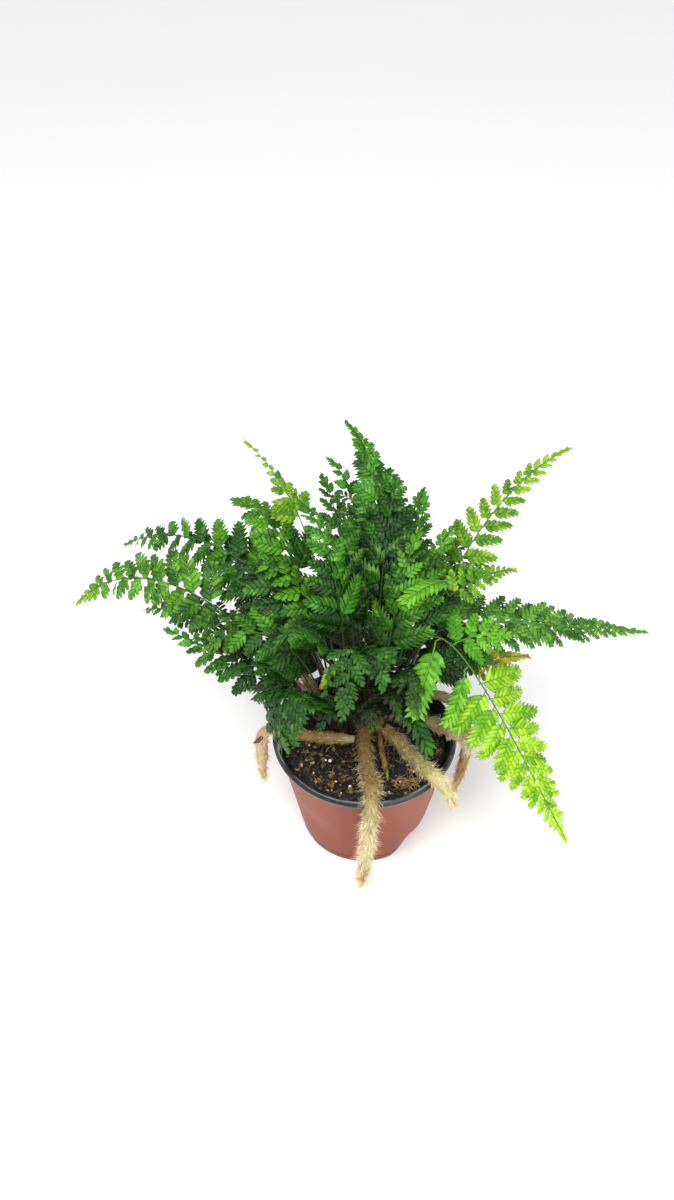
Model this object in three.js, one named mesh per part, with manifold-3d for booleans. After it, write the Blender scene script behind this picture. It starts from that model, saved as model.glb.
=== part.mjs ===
// A young rabbit's-foot fern in a thin plastic nursery pot, with furry rhizomes that hang over the rim.
// Millimetres, +Z up. The origin is the centre of the pot's floor, on its underside, and +X is the right.
import * as THREE from "three";
import loadManifold from "manifold-3d";

const manifold = await loadManifold();
manifold.setup();

// Pot.
const POT_HEIGHT = 78;
const RIM_RADIUS = 55;
const RIM_DEPTH = 4.5;
const RIM_WIDTH = 3.2;
const FLOOR_RADIUS = 38.5;
const WALL = 0.9;
const POT_SIDES = 36;
const SLOTS = 6;
const SLOT_WIDTH = 9;
const SLOT_HEIGHT = 3;
const SLOT_DEPTH = 8;

// Soil, and the free space round what stands or lies in it.
const SOIL_TOP = 71;
const GAP = 0.3;
const STEM_HOLE = 1.7;
const STEM_HOLE_SIDES = 5;
const ROOT_DEPTH = 5;
const SOIL_SIDES = 28;

// Rhizomes: each arm has the points that its middle passes through, from its old end to its growing tip.
const RHIZOME_SIDES = 7;
const TAN = 0xa58a5c;
const RHIZOMES = {
  main: [
    { points: [[2, 26, 75], [2, 15, 77], [0, -2, 75.5], [0, -17, 75.5], [2, -36, 79], [3, -51, 84], [2, -60.5, 79],
      [1, -61, 55], [-0.5, -61, 33], [-2, -61, 10]], radius: 4.8, steps: 15 },
    { points: [[2, 18, 76], [8, 7, 76], [17, -2, 75.5], [25, -14, 76], [33, -31, 80], [39, -41, 84], [46, -46, 76],
      [49, -46, 67]], radius: 4.6, steps: 11 },
    { points: [[4, 17, 76], [20, 13, 75.5], [38, 8, 77], [46, 1, 81], [52, -8, 84], [58, -12, 82],
      [61, -13, 74]], radius: 4.2, steps: 10 },
    { points: [[9, 5, 75.5], [9.5, -8, 74], [11, -20, 74], [12.5, -34, 75]], radius: 2, steps: 4 },
  ],
  left: [
    { points: [[-6, -5, 75.5], [-15, -4, 75.5], [-27, -3, 75.5], [-38, -2, 76], [-46, -2, 79.5], [-53, -3, 84],
      [-60.5, -4, 78], [-61.5, -5, 66], [-62, -5, 52], [-62, -5, 40]], radius: 4.4, steps: 11 },
    { points: [[-59, -4, 80], [-62, -8, 79], [-65, -10, 78]], radius: 1.7, steps: 2 },
  ],
  right_back: [
    { points: [[30, 26, 75.5], [37, 26, 79.5], [44, 24, 83.6], [50, 21, 84], [57, 17, 81], [61.5, 12, 74], [63, 6, 62],
      [62, 1, 50], [59, -4, 38], [55, -8, 27]], radius: 3.8, steps: 12 },
    { points: [[62, 5, 60], [66, 2, 59]], radius: 2.2, steps: 2 },
  ],
  back_left: [
    { points: [[-24, 22, 75.5], [-33, 26, 79.5], [-42, 31, 84], [-53, 36, 83.5], [-62, 41, 77]], radius: 4.2, steps: 8 },
    { points: [[-28, 25, 76.5], [-33, 35, 81], [-39, 43, 84], [-48, 52, 82]], radius: 3.6, steps: 6 },
  ],
};

// Fronds: half thickness of the stem, of the midrib near the tip, and of a leaflet.
const STEM_HALF = 0.75;
const MIDRIB_HALF = 0.45;
const LEAFLET_HALF = 0.32;
const STEM_STEPS = 5;

// A leaflet has two lobes a side from the first length, and three from the second. It droops by the square of its reach.
const TWO_LOBES_FROM = 12;
const THREE_LOBES_FROM = 24;
const DROOP = 0.006;

const DARK = 0x1f6b2c;
const MID = 0x2f8a35;
const LIME = 0x6fbf2e;
const YELLOW = 0xb09a35;

// Each frond: where its stem leaves the soil, two handles of its arch, its tip, the share of its length that is
// bare stem, the length of its longest leaflets, its leaflet pairs, its roll in degrees, and its colour.
const FRONDS = {
  right_low: { root: [23, 4], rise: [28, 30, 186], reach: [48, 4, 158], tip: [115, -56, 46],
    bare: 0.53, leaflet: 30, pairs: 8, roll: 25, colour: LIME },
  right_up: { root: [16, 17], rise: [32, 16, 130], reach: [54, 56, 206], tip: [116, 84, 222],
    bare: 0.50, leaflet: 22, pairs: 8, roll: 15, colour: LIME },
  right_far: { root: [24, 12], rise: [14, 22, 168], reach: [60, 38, 132], tip: [174, 48, 114],
    bare: 0.36, leaflet: 32, pairs: 8, roll: 25, colour: DARK },
  right_yellow: { root: [33, 22], rise: [40, 27, 108], reach: [74, 34, 107], tip: [102, 40, 101],
    bare: 0.54, leaflet: 13, pairs: 4, roll: 25, colour: YELLOW },
  top: { root: [2, 20], rise: [10, 26, 146], reach: [18, 70, 217], tip: [-12, 108, 226],
    bare: 0.44, leaflet: 33, pairs: 8, roll: 0, colour: DARK },
  top_right: { root: [9, 27], rise: [20, 46, 138], reach: [31, 76, 188], tip: [36, 96, 188],
    bare: 0.46, leaflet: 26, pairs: 5, roll: 0, colour: DARK },
  top_left: { root: [-7, 25], rise: [-5, 36, 140], reach: [6, 79, 196], tip: [-23, 104, 204],
    bare: 0.50, leaflet: 22, pairs: 5, roll: 0, colour: DARK },
  back_lime: { root: [-16, 23], rise: [-20, 46, 172], reach: [-40, 58, 214], tip: [-69, 84, 227],
    bare: 0.71, leaflet: 16, pairs: 4, roll: 0, colour: LIME },
  left_up: { root: [-20, 19], rise: [-30, 34, 166], reach: [-95, 74, 190], tip: [-156, 110, 134],
    bare: 0.45, leaflet: 28, pairs: 7, roll: -40, colour: MID },
  left_mid: { root: [-25, 12], rise: [-45, 14, 134], reach: [-124, 62, 188], tip: [-184, 78, 110],
    bare: 0.46, leaflet: 30, pairs: 8, roll: -52, colour: MID },
  left_low: { root: [-30, 8], rise: [-32, 20, 110], reach: [-95, 43, 149], tip: [-137, 62, 119],
    bare: 0.44, leaflet: 23, pairs: 6, roll: -20, colour: DARK },
  left_drop: { root: [-32, 4], rise: [-25, -1, 109], reach: [-70, 10, 122], tip: [-119, 33, 131],
    bare: 0.50, leaflet: 20, pairs: 5, roll: -15, colour: DARK },
  left_face: { root: [-19, 4], rise: [-28, 4, 150], reach: [-62, 4, 172], tip: [-94, 10, 132],
    bare: 0.45, leaflet: 26, pairs: 6, roll: -30, colour: MID },
  left_inner: { root: [-14, 13], rise: [-20, 14, 160], reach: [-40, 20, 196], tip: [-66, 38, 172],
    bare: 0.50, leaflet: 24, pairs: 5, roll: -10, colour: MID },
  centre_high: { root: [-9, 14], rise: [-12, 14, 165], reach: [-20, 22, 218], tip: [-38, 48, 210],
    bare: 0.48, leaflet: 26, pairs: 5, roll: 0, colour: DARK },
  centre_right: { root: [8, 12], rise: [12, 12, 150], reach: [20, 20, 190], tip: [30, 44, 196],
    bare: 0.45, leaflet: 24, pairs: 5, roll: 0, colour: MID },
  front_high: { root: [-3, 8], rise: [-3, 4, 160], reach: [-8, -26, 188], tip: [-14, -44, 132],
    bare: 0.50, leaflet: 24, pairs: 5, roll: 0, colour: DARK },
  front_mid: { root: [-8, 1], rise: [-10, -2, 140], reach: [-16, -26, 170], tip: [-24, -34, 140],
    bare: 0.52, leaflet: 11, pairs: 4, roll: 0, colour: MID },
  right_front: { root: [7, 9], rise: [9, 6, 132], reach: [22, -16, 160], tip: [28, -30, 120],
    bare: 0.50, leaflet: 20, pairs: 5, roll: 0, colour: DARK },
  front_left: { root: [-12, 3], rise: [-39, -10, 143], reach: [-50, -26, 148], tip: [-46, -44, 108],
    bare: 0.54, leaflet: 31, pairs: 4, roll: 23, colour: DARK },
  front_right: { root: [10, 4], rise: [14, -2, 110], reach: [24, -16, 124], tip: [36, -30, 92],
    bare: 0.46, leaflet: 14, pairs: 4, roll: 0, colour: DARK },
  left_behind: { root: [-19, 28], rise: [-27, 38, 150], reach: [-50, 60, 204], tip: [-80, 86, 186],
    bare: 0.56, leaflet: 26, pairs: 4, roll: -10, colour: MID },
  left_middle: { root: [-22, 2], rise: [-30, 4, 134], reach: [-62, 12, 168], tip: [-100, 26, 138],
    bare: 0.42, leaflet: 24, pairs: 4, roll: -15, colour: DARK },
  right_high: { root: [13, 12], rise: [20, 16, 145], reach: [38, 38, 192], tip: [53, 61, 186],
    bare: 0.50, leaflet: 20, pairs: 4, roll: 15, colour: MID },
  right_middle: { root: [14, 6], rise: [22, 0, 118], reach: [46, 4, 146], tip: [74, 14, 122],
    bare: 0.58, leaflet: 20, pairs: 4, roll: 20, colour: DARK },
  centre_low: { root: [4, 2], rise: [6, -2, 116], reach: [12, -14, 142], tip: [18, -26, 116],
    bare: 0.46, leaflet: 16, pairs: 4, roll: 0, colour: DARK },
  back_left: { root: [-22, 32], rise: [-34, 56, 130], reach: [-76, 90, 150], tip: [-104, 128, 108],
    bare: 0.42, leaflet: 26, pairs: 6, roll: 0, colour: DARK },
  back: { root: [0, 36], rise: [0, 60, 130], reach: [-4, 104, 150], tip: [-8, 150, 112],
    bare: 0.42, leaflet: 26, pairs: 6, roll: 0, colour: MID },
  back_right: { root: [22, 30], rise: [38, 54, 128], reach: [58, 88, 140], tip: [84, 122, 112],
    bare: 0.42, leaflet: 26, pairs: 6, roll: 0, colour: DARK },
};

// A mesh as a manifold solid, welded by position alone, and a solid back as a mesh geometry.
function solidOf(geometry) {
  const merged = new Map();
  const points = [];
  const corners = geometry.index ? [...geometry.index.array] : [...Array(geometry.attributes.position.count).keys()];
  const place = geometry.attributes.position;
  const numbers = corners.map((corner) => {
    const point = [place.getX(corner), place.getY(corner), place.getZ(corner)];
    const key = point.map((value) => Math.round(value * 1e4)).join(",");
    if (!merged.has(key)) {
      merged.set(key, merged.size);
      points.push(...point);
    }
    return merged.get(key);
  });
  const triangles = [];
  for (let i = 0; i < numbers.length; i += 3) {
    const [a, b, c] = numbers.slice(i, i + 3);
    if (a !== b && b !== c && c !== a) triangles.push(a, b, c);
  }
  return new manifold.Manifold(new manifold.Mesh({
    numProp: 3,
    vertProperties: new Float32Array(points),
    triVerts: new Uint32Array(triangles),
  }));
}

function geometryOf(solid) {
  const mesh = solid.getMesh();
  const geometry = new THREE.BufferGeometry();
  geometry.setAttribute("position", new THREE.BufferAttribute(new Float32Array(mesh.vertProperties), 3));
  geometry.setIndex(new THREE.BufferAttribute(new Uint32Array(mesh.triVerts), 1));
  geometry.computeVertexNormals();
  return geometry;
}

// A round solid turned about Z from a closed outline of [radius, height] points.
function turned(outline, sides) {
  const points = [...outline, outline[0]].map(([radius, height]) => new THREE.Vector2(radius, height));
  return solidOf(new THREE.LatheGeometry(points, sides).rotateX(Math.PI / 2));
}

function material(colour, roughness) {
  return new THREE.MeshStandardMaterial({ color: colour, roughness, metalness: 0 });
}

function named(name, geometry, finish) {
  const mesh = new THREE.Mesh(geometry, finish);
  mesh.name = name;
  return mesh;
}

// The wall's inner radius at a height.
const wallTopRadius = RIM_RADIUS - RIM_WIDTH;
function innerRadius(height) {
  return FLOOR_RADIUS + (wallTopRadius - FLOOR_RADIUS) * (height / POT_HEIGHT) - WALL;
}

function pot() {
  const shell = turned([
    [0, 0],
    [FLOOR_RADIUS - 1, 0],
    [FLOOR_RADIUS, 1],
    [wallTopRadius - 0.2, POT_HEIGHT - RIM_DEPTH - 1.5],
    [RIM_RADIUS - 0.6, POT_HEIGHT - RIM_DEPTH],
    [RIM_RADIUS, POT_HEIGHT - RIM_DEPTH / 2],
    [RIM_RADIUS - RIM_WIDTH / 2, POT_HEIGHT],
    [wallTopRadius, POT_HEIGHT - 0.9],
    [innerRadius(POT_HEIGHT - RIM_DEPTH), POT_HEIGHT - RIM_DEPTH],
    [innerRadius(WALL), WALL],
    [0, WALL],
  ], POT_SIDES);
  let drained = shell;
  for (let i = 0; i < SLOTS; i += 1) {
    const slot = new THREE.BoxGeometry(SLOT_DEPTH, SLOT_WIDTH, SLOT_HEIGHT * 2)
      .translate(FLOOR_RADIUS, 0, 0)
      .rotateZ(((i + 0.5) / SLOTS) * 2 * Math.PI);
    drained = drained.subtract(solidOf(slot));
  }
  return named("pot", geometryOf(drained), material(0xa8705f, 0.5));
}

// A flat frond is a list of points [along, across, half thickness] and of cells, which are loops of points.
// Its stem and midrib are a strip of cells, and each leaflet is one lobed cell on the strip's edge.
function leaflet(points, from, to, side, length, angle, width, lobes) {
  const base = [(points[from][0] + points[to][0]) / 2, points[from][1]];
  const out = [Math.cos(angle), side * Math.sin(angle)];
  const forward = [Math.sin(angle), -side * Math.cos(angle)];
  const add = (share, half, direction) => {
    points.push([
      base[0] + out[0] * length * share + forward[0] * half * direction,
      base[1] + out[1] * length * share + forward[1] * half * direction,
      LEAFLET_HALF,
    ]);
    return points.length - 1;
  };
  const edge = (direction) => {
    const loop = [];
    for (let lobe = 0; lobe < lobes; lobe += 1) {
      const taper = 1 - 0.62 * (lobe / lobes);
      loop.push(add((lobe + 0.72) / (lobes + 0.6), width * taper, direction));
      loop.push(add((lobe + 0.92) / (lobes + 0.6), width * 0.3 * taper, direction));
    }
    return loop;
  };
  const forwardEdge = edge(1);
  const apex = add(1, 0, 1);
  const backEdge = edge(-1);
  return side > 0
    ? [from, to, ...forwardEdge, apex, ...backEdge.reverse()]
    : [to, from, ...backEdge, apex, ...forwardEdge.reverse()];
}

function flatFrond(length, frond) {
  const points = [];
  const cells = [];
  let last = null;
  const station = (along, half) => {
    const pair = [points.length, points.length + 1];
    points.push([along, half, half], [along, -half, half]);
    if (last) cells.push([last[0], last[1], pair[1], pair[0]]);
    last = pair;
    return pair;
  };
  const bladeStart = frond.bare * length;
  for (let i = 0; i < STEM_STEPS; i += 1) station((bladeStart * i) / STEM_STEPS, STEM_HALF);
  const step = (length - bladeStart) / (frond.pairs + 0.7);
  for (let i = 0; i < frond.pairs; i += 1) {
    const share = i / frond.pairs;
    const half = STEM_HALF + (MIDRIB_HALF - STEM_HALF) * share;
    const lower = station(bladeStart + step * i, half);
    const upper = station(bladeStart + step * (i + 0.42), half);
    const reach = frond.leaflet * (1 - share) ** 0.9 * (i === 0 ? 1.15 : 1);
    const angle = THREE.MathUtils.degToRad(72 - 26 * share);
    const width = Math.min(0.44 * step * Math.sin(angle), reach * 0.36);
    const lobes = reach > THREE_LOBES_FROM ? 3 : reach > TWO_LOBES_FROM ? 2 : 1;
    cells.push(leaflet(points, lower[0], upper[0], 1, reach, angle, width, lobes));
    cells.push(leaflet(points, lower[1], upper[1], -1, reach, angle, width, lobes));
  }
  const end = station(length - step * 0.7, MIDRIB_HALF);
  points.push([length, 0, LEAFLET_HALF]);
  cells.push([end[0], end[1], points.length - 1]);
  return { points, cells };
}

// A frond's arch, from the bottom of its hole in the soil to its tip.
function archOf(frond) {
  const root = new THREE.Vector3(frond.root[0], frond.root[1], SOIL_TOP - ROOT_DEPTH);
  const [rise, reach, tip] = [frond.rise, frond.reach, frond.tip].map((place) => new THREE.Vector3(...place));
  return new THREE.CubicBezierCurve3(root, rise, reach, tip);
}

// The flat frond laid along its arch: along runs on the curve, across runs level, turned by the frond's roll.
function archedFrond(frond) {
  const arch = archOf(frond);
  const length = arch.getLength();
  const { points, cells } = flatFrond(length, frond);
  const level = new THREE.Vector3(arch.v0.y - arch.v3.y, arch.v3.x - arch.v0.x, 0).normalize();
  const place = ([along, across, half]) => {
    const share = Math.min(along / length, 1);
    const ahead = arch.getTangentAt(share);
    const side = level.clone().addScaledVector(ahead, -level.dot(ahead)).normalize();
    const roll = THREE.MathUtils.degToRad(frond.roll) * Math.min(share / frond.bare, 1);
    side.applyAxisAngle(ahead, roll);
    const up = ahead.clone().cross(side);
    const droop = -DROOP * across * across;
    const middle = arch.getPointAt(share)
      .addScaledVector(ahead, Math.max(along - length, 0))
      .addScaledVector(side, across)
      .addScaledVector(up, droop);
    return [middle.clone().addScaledVector(up, half), middle.addScaledVector(up, -half)];
  };
  const positions = points.map(place).flat().flatMap((point) => point.toArray());
  const triangles = [];
  const edges = new Map();
  for (const cell of cells) {
    const contour = cell.map((corner) => new THREE.Vector2(points[corner][0], points[corner][1]));
    for (const face of THREE.ShapeUtils.triangulateShape(contour, [])) {
      const [a, b, c] = face.map((corner) => cell[corner]);
      triangles.push(2 * a, 2 * b, 2 * c, 2 * a + 1, 2 * c + 1, 2 * b + 1);
    }
    cell.forEach((corner, i) => edges.set(`${corner},${cell[(i + 1) % cell.length]}`, true));
  }
  for (const edge of edges.keys()) {
    const [a, b] = edge.split(",").map(Number);
    if (!edges.has(`${b},${a}`)) triangles.push(2 * a, 2 * a + 1, 2 * b + 1, 2 * a, 2 * b + 1, 2 * b);
  }
  const geometry = new THREE.BufferGeometry();
  geometry.setAttribute("position", new THREE.Float32BufferAttribute(positions, 3));
  geometry.setIndex(triangles);
  geometry.computeVertexNormals();
  return geometry;
}

// A round tube of changing radius along a curve, with a point at each end.
function tube(curve, steps, sides, radiusAt, to = 1) {
  const points = [curve.getPointAt(0), curve.getPointAt(to)];
  const triangles = [];
  const ringStart = (step) => 2 + step * sides;
  const across = new THREE.Vector3(0.6, 0.8, 0);
  for (let step = 0; step <= steps; step += 1) {
    const share = (to * step) / steps;
    const middle = curve.getPointAt(share);
    const ahead = curve.getTangentAt(share);
    across.addScaledVector(ahead, -across.dot(ahead)).normalize();
    const around = ahead.clone().cross(across);
    for (let side = 0; side < sides; side += 1) {
      const turn = (side / sides) * 2 * Math.PI;
      points.push(middle.clone()
        .addScaledVector(across, radiusAt(share) * Math.cos(turn))
        .addScaledVector(around, radiusAt(share) * Math.sin(turn)));
    }
  }
  for (let side = 0; side < sides; side += 1) {
    const next = (side + 1) % sides;
    triangles.push(0, ringStart(0) + next, ringStart(0) + side);
    triangles.push(1, ringStart(steps) + side, ringStart(steps) + next);
    for (let step = 0; step < steps; step += 1) {
      const [a, b] = [ringStart(step) + side, ringStart(step) + next];
      triangles.push(a, b, b + sides, a, b + sides, a + sides);
    }
  }
  const geometry = new THREE.BufferGeometry();
  geometry.setAttribute("position", new THREE.Float32BufferAttribute(points.flatMap((p) => p.toArray()), 3));
  geometry.setIndex(triangles);
  return solidOf(geometry);
}

// One arm of a rhizome: knobbly, blunt at its old end and drawn out to its tip. extra widens it for its groove.
function arm({ points, radius, steps }, extra = 0) {
  const route = new THREE.CatmullRomCurve3(points.map((place) => new THREE.Vector3(...place)));
  const knobs = (share) => 1 + 0.06 * Math.sin(share * 41 + points[0][0]);
  const taper = (share) => Math.min(1, 0.55 + 5 * share, 0.28 + 3.2 * (1 - share));
  return tube(route, steps, RHIZOME_SIDES, (share) => radius * knobs(share) * taper(share) + extra);
}

function joined(solids) {
  return solids.reduce((whole, solid) => whole.add(solid));
}

// The holes that the stems stand in follow the stems' arches, from just below their ends to a height above them.
function stemHoles(height, steps) {
  return joined(Object.values(FRONDS).map((frond) => {
    const arch = archOf(frond);
    const below = arch.getTangentAt(0).multiplyScalar(-GAP);
    arch.v0.add(below);
    return tube(arch, steps, STEM_HOLE_SIDES, () => STEM_HOLE, (ROOT_DEPTH + height) / arch.getLength());
  }));
}

function rhizome(name) {
  const whole = joined(RHIZOMES[name].map((part) => arm(part)));
  return named(`rhizome_${name}`, geometryOf(whole.subtract(stemHoles(18, 2))), material(TAN, 0.9));
}

// The soil fills the pot. Its top is uneven, with a groove under each rhizome and a hole for each stem.
function soil() {
  const rings = [0.96, 0.72, 0.48, 0.24];
  const edge = innerRadius(SOIL_TOP) - GAP;
  const outline = [
    [0, WALL + GAP],
    [innerRadius(WALL) - GAP, WALL + GAP],
    [edge, SOIL_TOP],
    ...rings.map((share) => [edge * share, SOIL_TOP]),
    [0, SOIL_TOP],
    [0, WALL + GAP],
  ];
  const filling = new THREE.LatheGeometry(outline.map(([r, z]) => new THREE.Vector2(r, z)), SOIL_SIDES).rotateX(Math.PI / 2);
  const place = filling.attributes.position;
  for (let i = 0; i < place.count; i += 1) {
    const [x, y] = [place.getX(i), place.getY(i)];
    const inside = Math.hypot(x, y) < edge * 0.9;
    if (place.getZ(i) > SOIL_TOP - 1 && inside) {
      place.setZ(i, SOIL_TOP + 0.7 * Math.sin(x * 0.9 + y * 0.4) + 0.6 * Math.sin(y * 1.1 - x * 0.5));
    }
  }
  const grooves = joined(Object.values(RHIZOMES).flat().map((part) => arm(part, GAP)));
  return named("soil", geometryOf(solidOf(filling).subtract(grooves).subtract(stemHoles(3, 1))), material(0x2a211b, 0.95));
}

const plant = new THREE.Group();
plant.add(pot(), soil());
for (const name of Object.keys(RHIZOMES)) plant.add(rhizome(name));
for (const [name, frond] of Object.entries(FRONDS)) {
  plant.add(named(`frond_${name}`, archedFrond(frond), material(frond.colour, 0.5)));
}

export default plant;
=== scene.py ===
import math
import random

import bmesh
import bpy
import numpy as np
from mathutils import Matrix, Vector, noise


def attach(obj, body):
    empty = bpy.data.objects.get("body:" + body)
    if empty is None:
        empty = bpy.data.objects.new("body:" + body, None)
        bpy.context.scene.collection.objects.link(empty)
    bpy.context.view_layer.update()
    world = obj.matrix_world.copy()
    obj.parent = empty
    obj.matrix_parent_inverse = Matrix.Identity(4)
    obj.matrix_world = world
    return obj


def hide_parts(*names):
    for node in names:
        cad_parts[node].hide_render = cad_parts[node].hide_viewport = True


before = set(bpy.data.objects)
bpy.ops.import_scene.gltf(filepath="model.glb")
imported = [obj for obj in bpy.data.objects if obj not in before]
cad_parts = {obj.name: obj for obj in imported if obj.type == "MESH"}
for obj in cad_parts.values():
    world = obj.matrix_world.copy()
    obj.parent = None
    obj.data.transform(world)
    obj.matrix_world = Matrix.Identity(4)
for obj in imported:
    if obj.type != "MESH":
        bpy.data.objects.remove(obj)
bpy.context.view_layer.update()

# ---------------------------------------------------------------------------
# The pot: a thin nursery pot, drawn by vacuum from one plastic sheet that is
# terracotta outside and black inside. The black side is rolled over at the top
# as the rim, and six slots where the wall meets the floor let it drain.

MM = 0.001
POT_HEIGHT = 78 * MM
RIM_RADIUS = 55 * MM
RIM_DEPTH = 4.5 * MM
RIM_WIDTH = 3.2 * MM
FLOOR_RADIUS = 38.5 * MM
WALL = 0.9 * MM
DISH_RADIUS = 22 * MM
DISH_RISE = 0.6 * MM
FOOT_LINE = 6 * MM
SLOTS = 6
SLOT_DEPTH = 8 * MM
SLOT_WIDTH = 9 * MM
SLOT_HEIGHT = 3 * MM
POT_STEPS = 144
WALL_RINGS = 14
SAME_PLACE = 0.001 * MM
WALL_TOP_RADIUS = RIM_RADIUS - RIM_WIDTH
RIM_CREST = RIM_RADIUS - 1.9 * MM


def inner_radius(height):
    """The radius of the wall's inner face at a height."""
    return FLOOR_RADIUS + (WALL_TOP_RADIUS - FLOOR_RADIUS) * height / POT_HEIGHT - WALL


class Value:
    """A socket in a material, so that the sums of a pattern read as plain Python."""

    def __init__(self, tree, socket):
        self.tree = tree
        self.socket = socket

    def sum(self, operation, other=0.0, turned=False):
        """What a Math node makes of this value and another, which comes first if turned."""
        node = self.tree.nodes.new("ShaderNodeMath")
        node.operation = operation
        for place, value in zip(node.inputs, (other, self) if turned else (self, other)):
            if isinstance(value, Value):
                self.tree.links.new(value.socket, place)
            else:
                place.default_value = value
        return Value(self.tree, node.outputs[0])

    def __add__(self, other):
        return self.sum("ADD", other)

    def __radd__(self, other):
        return self.sum("ADD", other, True)

    def __sub__(self, other):
        return self.sum("SUBTRACT", other)

    def __rsub__(self, other):
        return self.sum("SUBTRACT", other, True)

    def __mul__(self, other):
        return self.sum("MULTIPLY", other)

    def __rmul__(self, other):
        return self.sum("MULTIPLY", other, True)

    def kept(self):
        """The value held between 0 and 1."""
        return self.sum("MAXIMUM", 0.0).sum("MINIMUM", 1.0)


def srgb(red, green, blue):
    """A colour as a photo's 0 to 255 values, turned to the light values that a material takes."""
    shares = [value / 255 for value in (red, green, blue)]
    return tuple(s / 12.92 if s <= 0.04045 else ((s + 0.055) / 1.055) ** 2.4 for s in shares)


class Finish:
    """A material. add() makes any node, and lay() puts values and links on the main shader.
    Every colour is given as a photo's 0 to 255 values."""

    def __init__(self, name):
        self.material = bpy.data.materials.new(name)
        self.material.use_nodes = True
        self.tree = self.material.node_tree
        self.shader = self.tree.nodes["Principled BSDF"]

    def fill(self, node, inputs):
        """Links or sets the sockets of a node."""
        for name, value in inputs.items():
            if isinstance(value, Value):
                self.tree.links.new(value.socket, node.inputs[name])
            elif node.inputs[name].type == "RGBA":
                node.inputs[name].default_value = (*srgb(*value), 1)
            else:
                node.inputs[name].default_value = value

    def add(self, kind, settings=None, inputs=None, out=0):
        """A node of a kind, with its settings and a ramp's stops set first, then its sockets."""
        node = self.tree.nodes.new("ShaderNode" + kind)
        for name, value in (settings or {}).items():
            if name == "stops":
                stops = node.color_ramp.elements
                for i, (place, colour) in enumerate(value):
                    stop = stops[i] if i < len(stops) else stops.new(place)
                    stop.position = place
                    stop.color = (*srgb(*colour), 1)
            else:
                setattr(node, name, value)
        self.fill(node, inputs or {})
        return Value(self.tree, node.outputs[out])

    def mark(self, name):
        """An attribute of the mesh, as a number."""
        return self.add("Attribute", {"attribute_name": name}, out=2)

    def places(self, scale=(1, 1, 1)):
        """Where on the piece a point is, which runs faster along an axis with a larger scale."""
        where = self.add("TexCoord", out=3)
        return self.add("Mapping", inputs={"Vector": where, "Scale": scale})

    def axis(self, number, where=None):
        """The X, Y or Z of a place, for 0, 1 or 2."""
        return self.add("SeparateXYZ", inputs={"Vector": where or self.places()}, out=number)

    def noise(self, scale, detail=3, rough=0.55, places=(1, 1, 1)):
        return self.add("TexNoise", inputs={
            "Vector": self.places(places), "Scale": scale, "Detail": detail, "Roughness": rough,
        })

    def ramp(self, share, *stops):
        """A colour between stops, which are each a share and a colour."""
        return self.add("ValToRGB", {"stops": stops}, {"Fac": share})

    def mix(self, share, first, second, blend="MIX"):
        sockets = {0: share, 6: first, 7: second}
        return self.add("Mix", {"data_type": "RGBA", "blend_type": blend}, sockets, out=2)

    def bump(self, height, strength, distance):
        return self.add("Bump", inputs={"Height": height, "Strength": strength, "Distance": distance})

    def lay(self, **inputs):
        """Fills the main shader, and gives the finished material."""
        self.fill(self.shader, {name.replace("_", " "): value for name, value in inputs.items()})
        return self.material


def placed(name, data):
    """An object that shows a mesh, a lamp or the camera."""
    thing = bpy.data.objects.new(name, data)
    bpy.context.scene.collection.objects.link(thing)
    return thing


def stands(name, mesh, materials, slot, *nodes):
    """Makes a finished mesh a piece of the plant, which stands for the named CAD nodes."""
    for material in materials:
        mesh.materials.append(material)
    piece = placed(name, mesh)
    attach(piece, "root")
    if nodes:
        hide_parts(*nodes)
    return piece


def mesh_from(name, bm, smooth=False):
    """The mesh of a finished bmesh, which is given back."""
    for face in bm.faces:
        face.smooth = smooth
    mesh = bpy.data.meshes.new(name)
    bm.to_mesh(mesh)
    bm.free()
    return mesh


def spun(outline, steps):
    """A shape turned about the Z axis from an outline of radii and heights, which starts and ends on the axis."""
    bm = bmesh.new()
    corners = [bm.verts.new((radius, 0, height)) for radius, height in outline]
    for first, second in zip(corners, corners[1:]):
        bm.edges.new((first, second))
    bmesh.ops.spin(bm, geom=bm.verts[:] + bm.edges[:], axis=(0, 0, 1), cent=(0, 0, 0),
                   angle=2 * math.pi, steps=steps, use_merge=True)
    bmesh.ops.remove_doubles(bm, verts=bm.verts, dist=SAME_PLACE)
    bmesh.ops.recalc_face_normals(bm, faces=bm.faces)
    return bm


def terracotta_plastic():
    finish = Finish("terracotta_plastic")
    bands = finish.noise(1.0, places=(46, 46, 2.5))
    clouds, grain = finish.noise(30), finish.noise(900, 2)
    height = finish.axis(2)
    tone = (bands * 1.5 - 0.35 + (clouds - 0.5) * 0.5).kept()
    coloured = finish.mix(tone, (123, 56, 30), (151, 76, 44))
    # Painted shade: the wall is painted darker towards the bottom and darker still at its foot. A dark line also runs
    # along the foot line.
    low = (1 - height * 17).kept() * 0.34
    foot = (1 - height * 150).kept() * 0.7
    line = (1 - (height - FOOT_LINE).sum("ABSOLUTE") * 700).kept()
    for share, darker in ((low, (106, 44, 26)), (foot, (84, 30, 18)), (line, (70, 24, 14))):
        coloured = finish.mix(share, coloured, darker)
    waves = bands * 0.8 + grain * 0.06
    return finish.lay(
        Base_Color=coloured,
        Roughness=0.36 + clouds * 0.16 + grain * 0.06,
        Normal=finish.bump(waves, 0.35, 0.0009),
        Specular_IOR_Level=0.28,
    )


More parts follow.
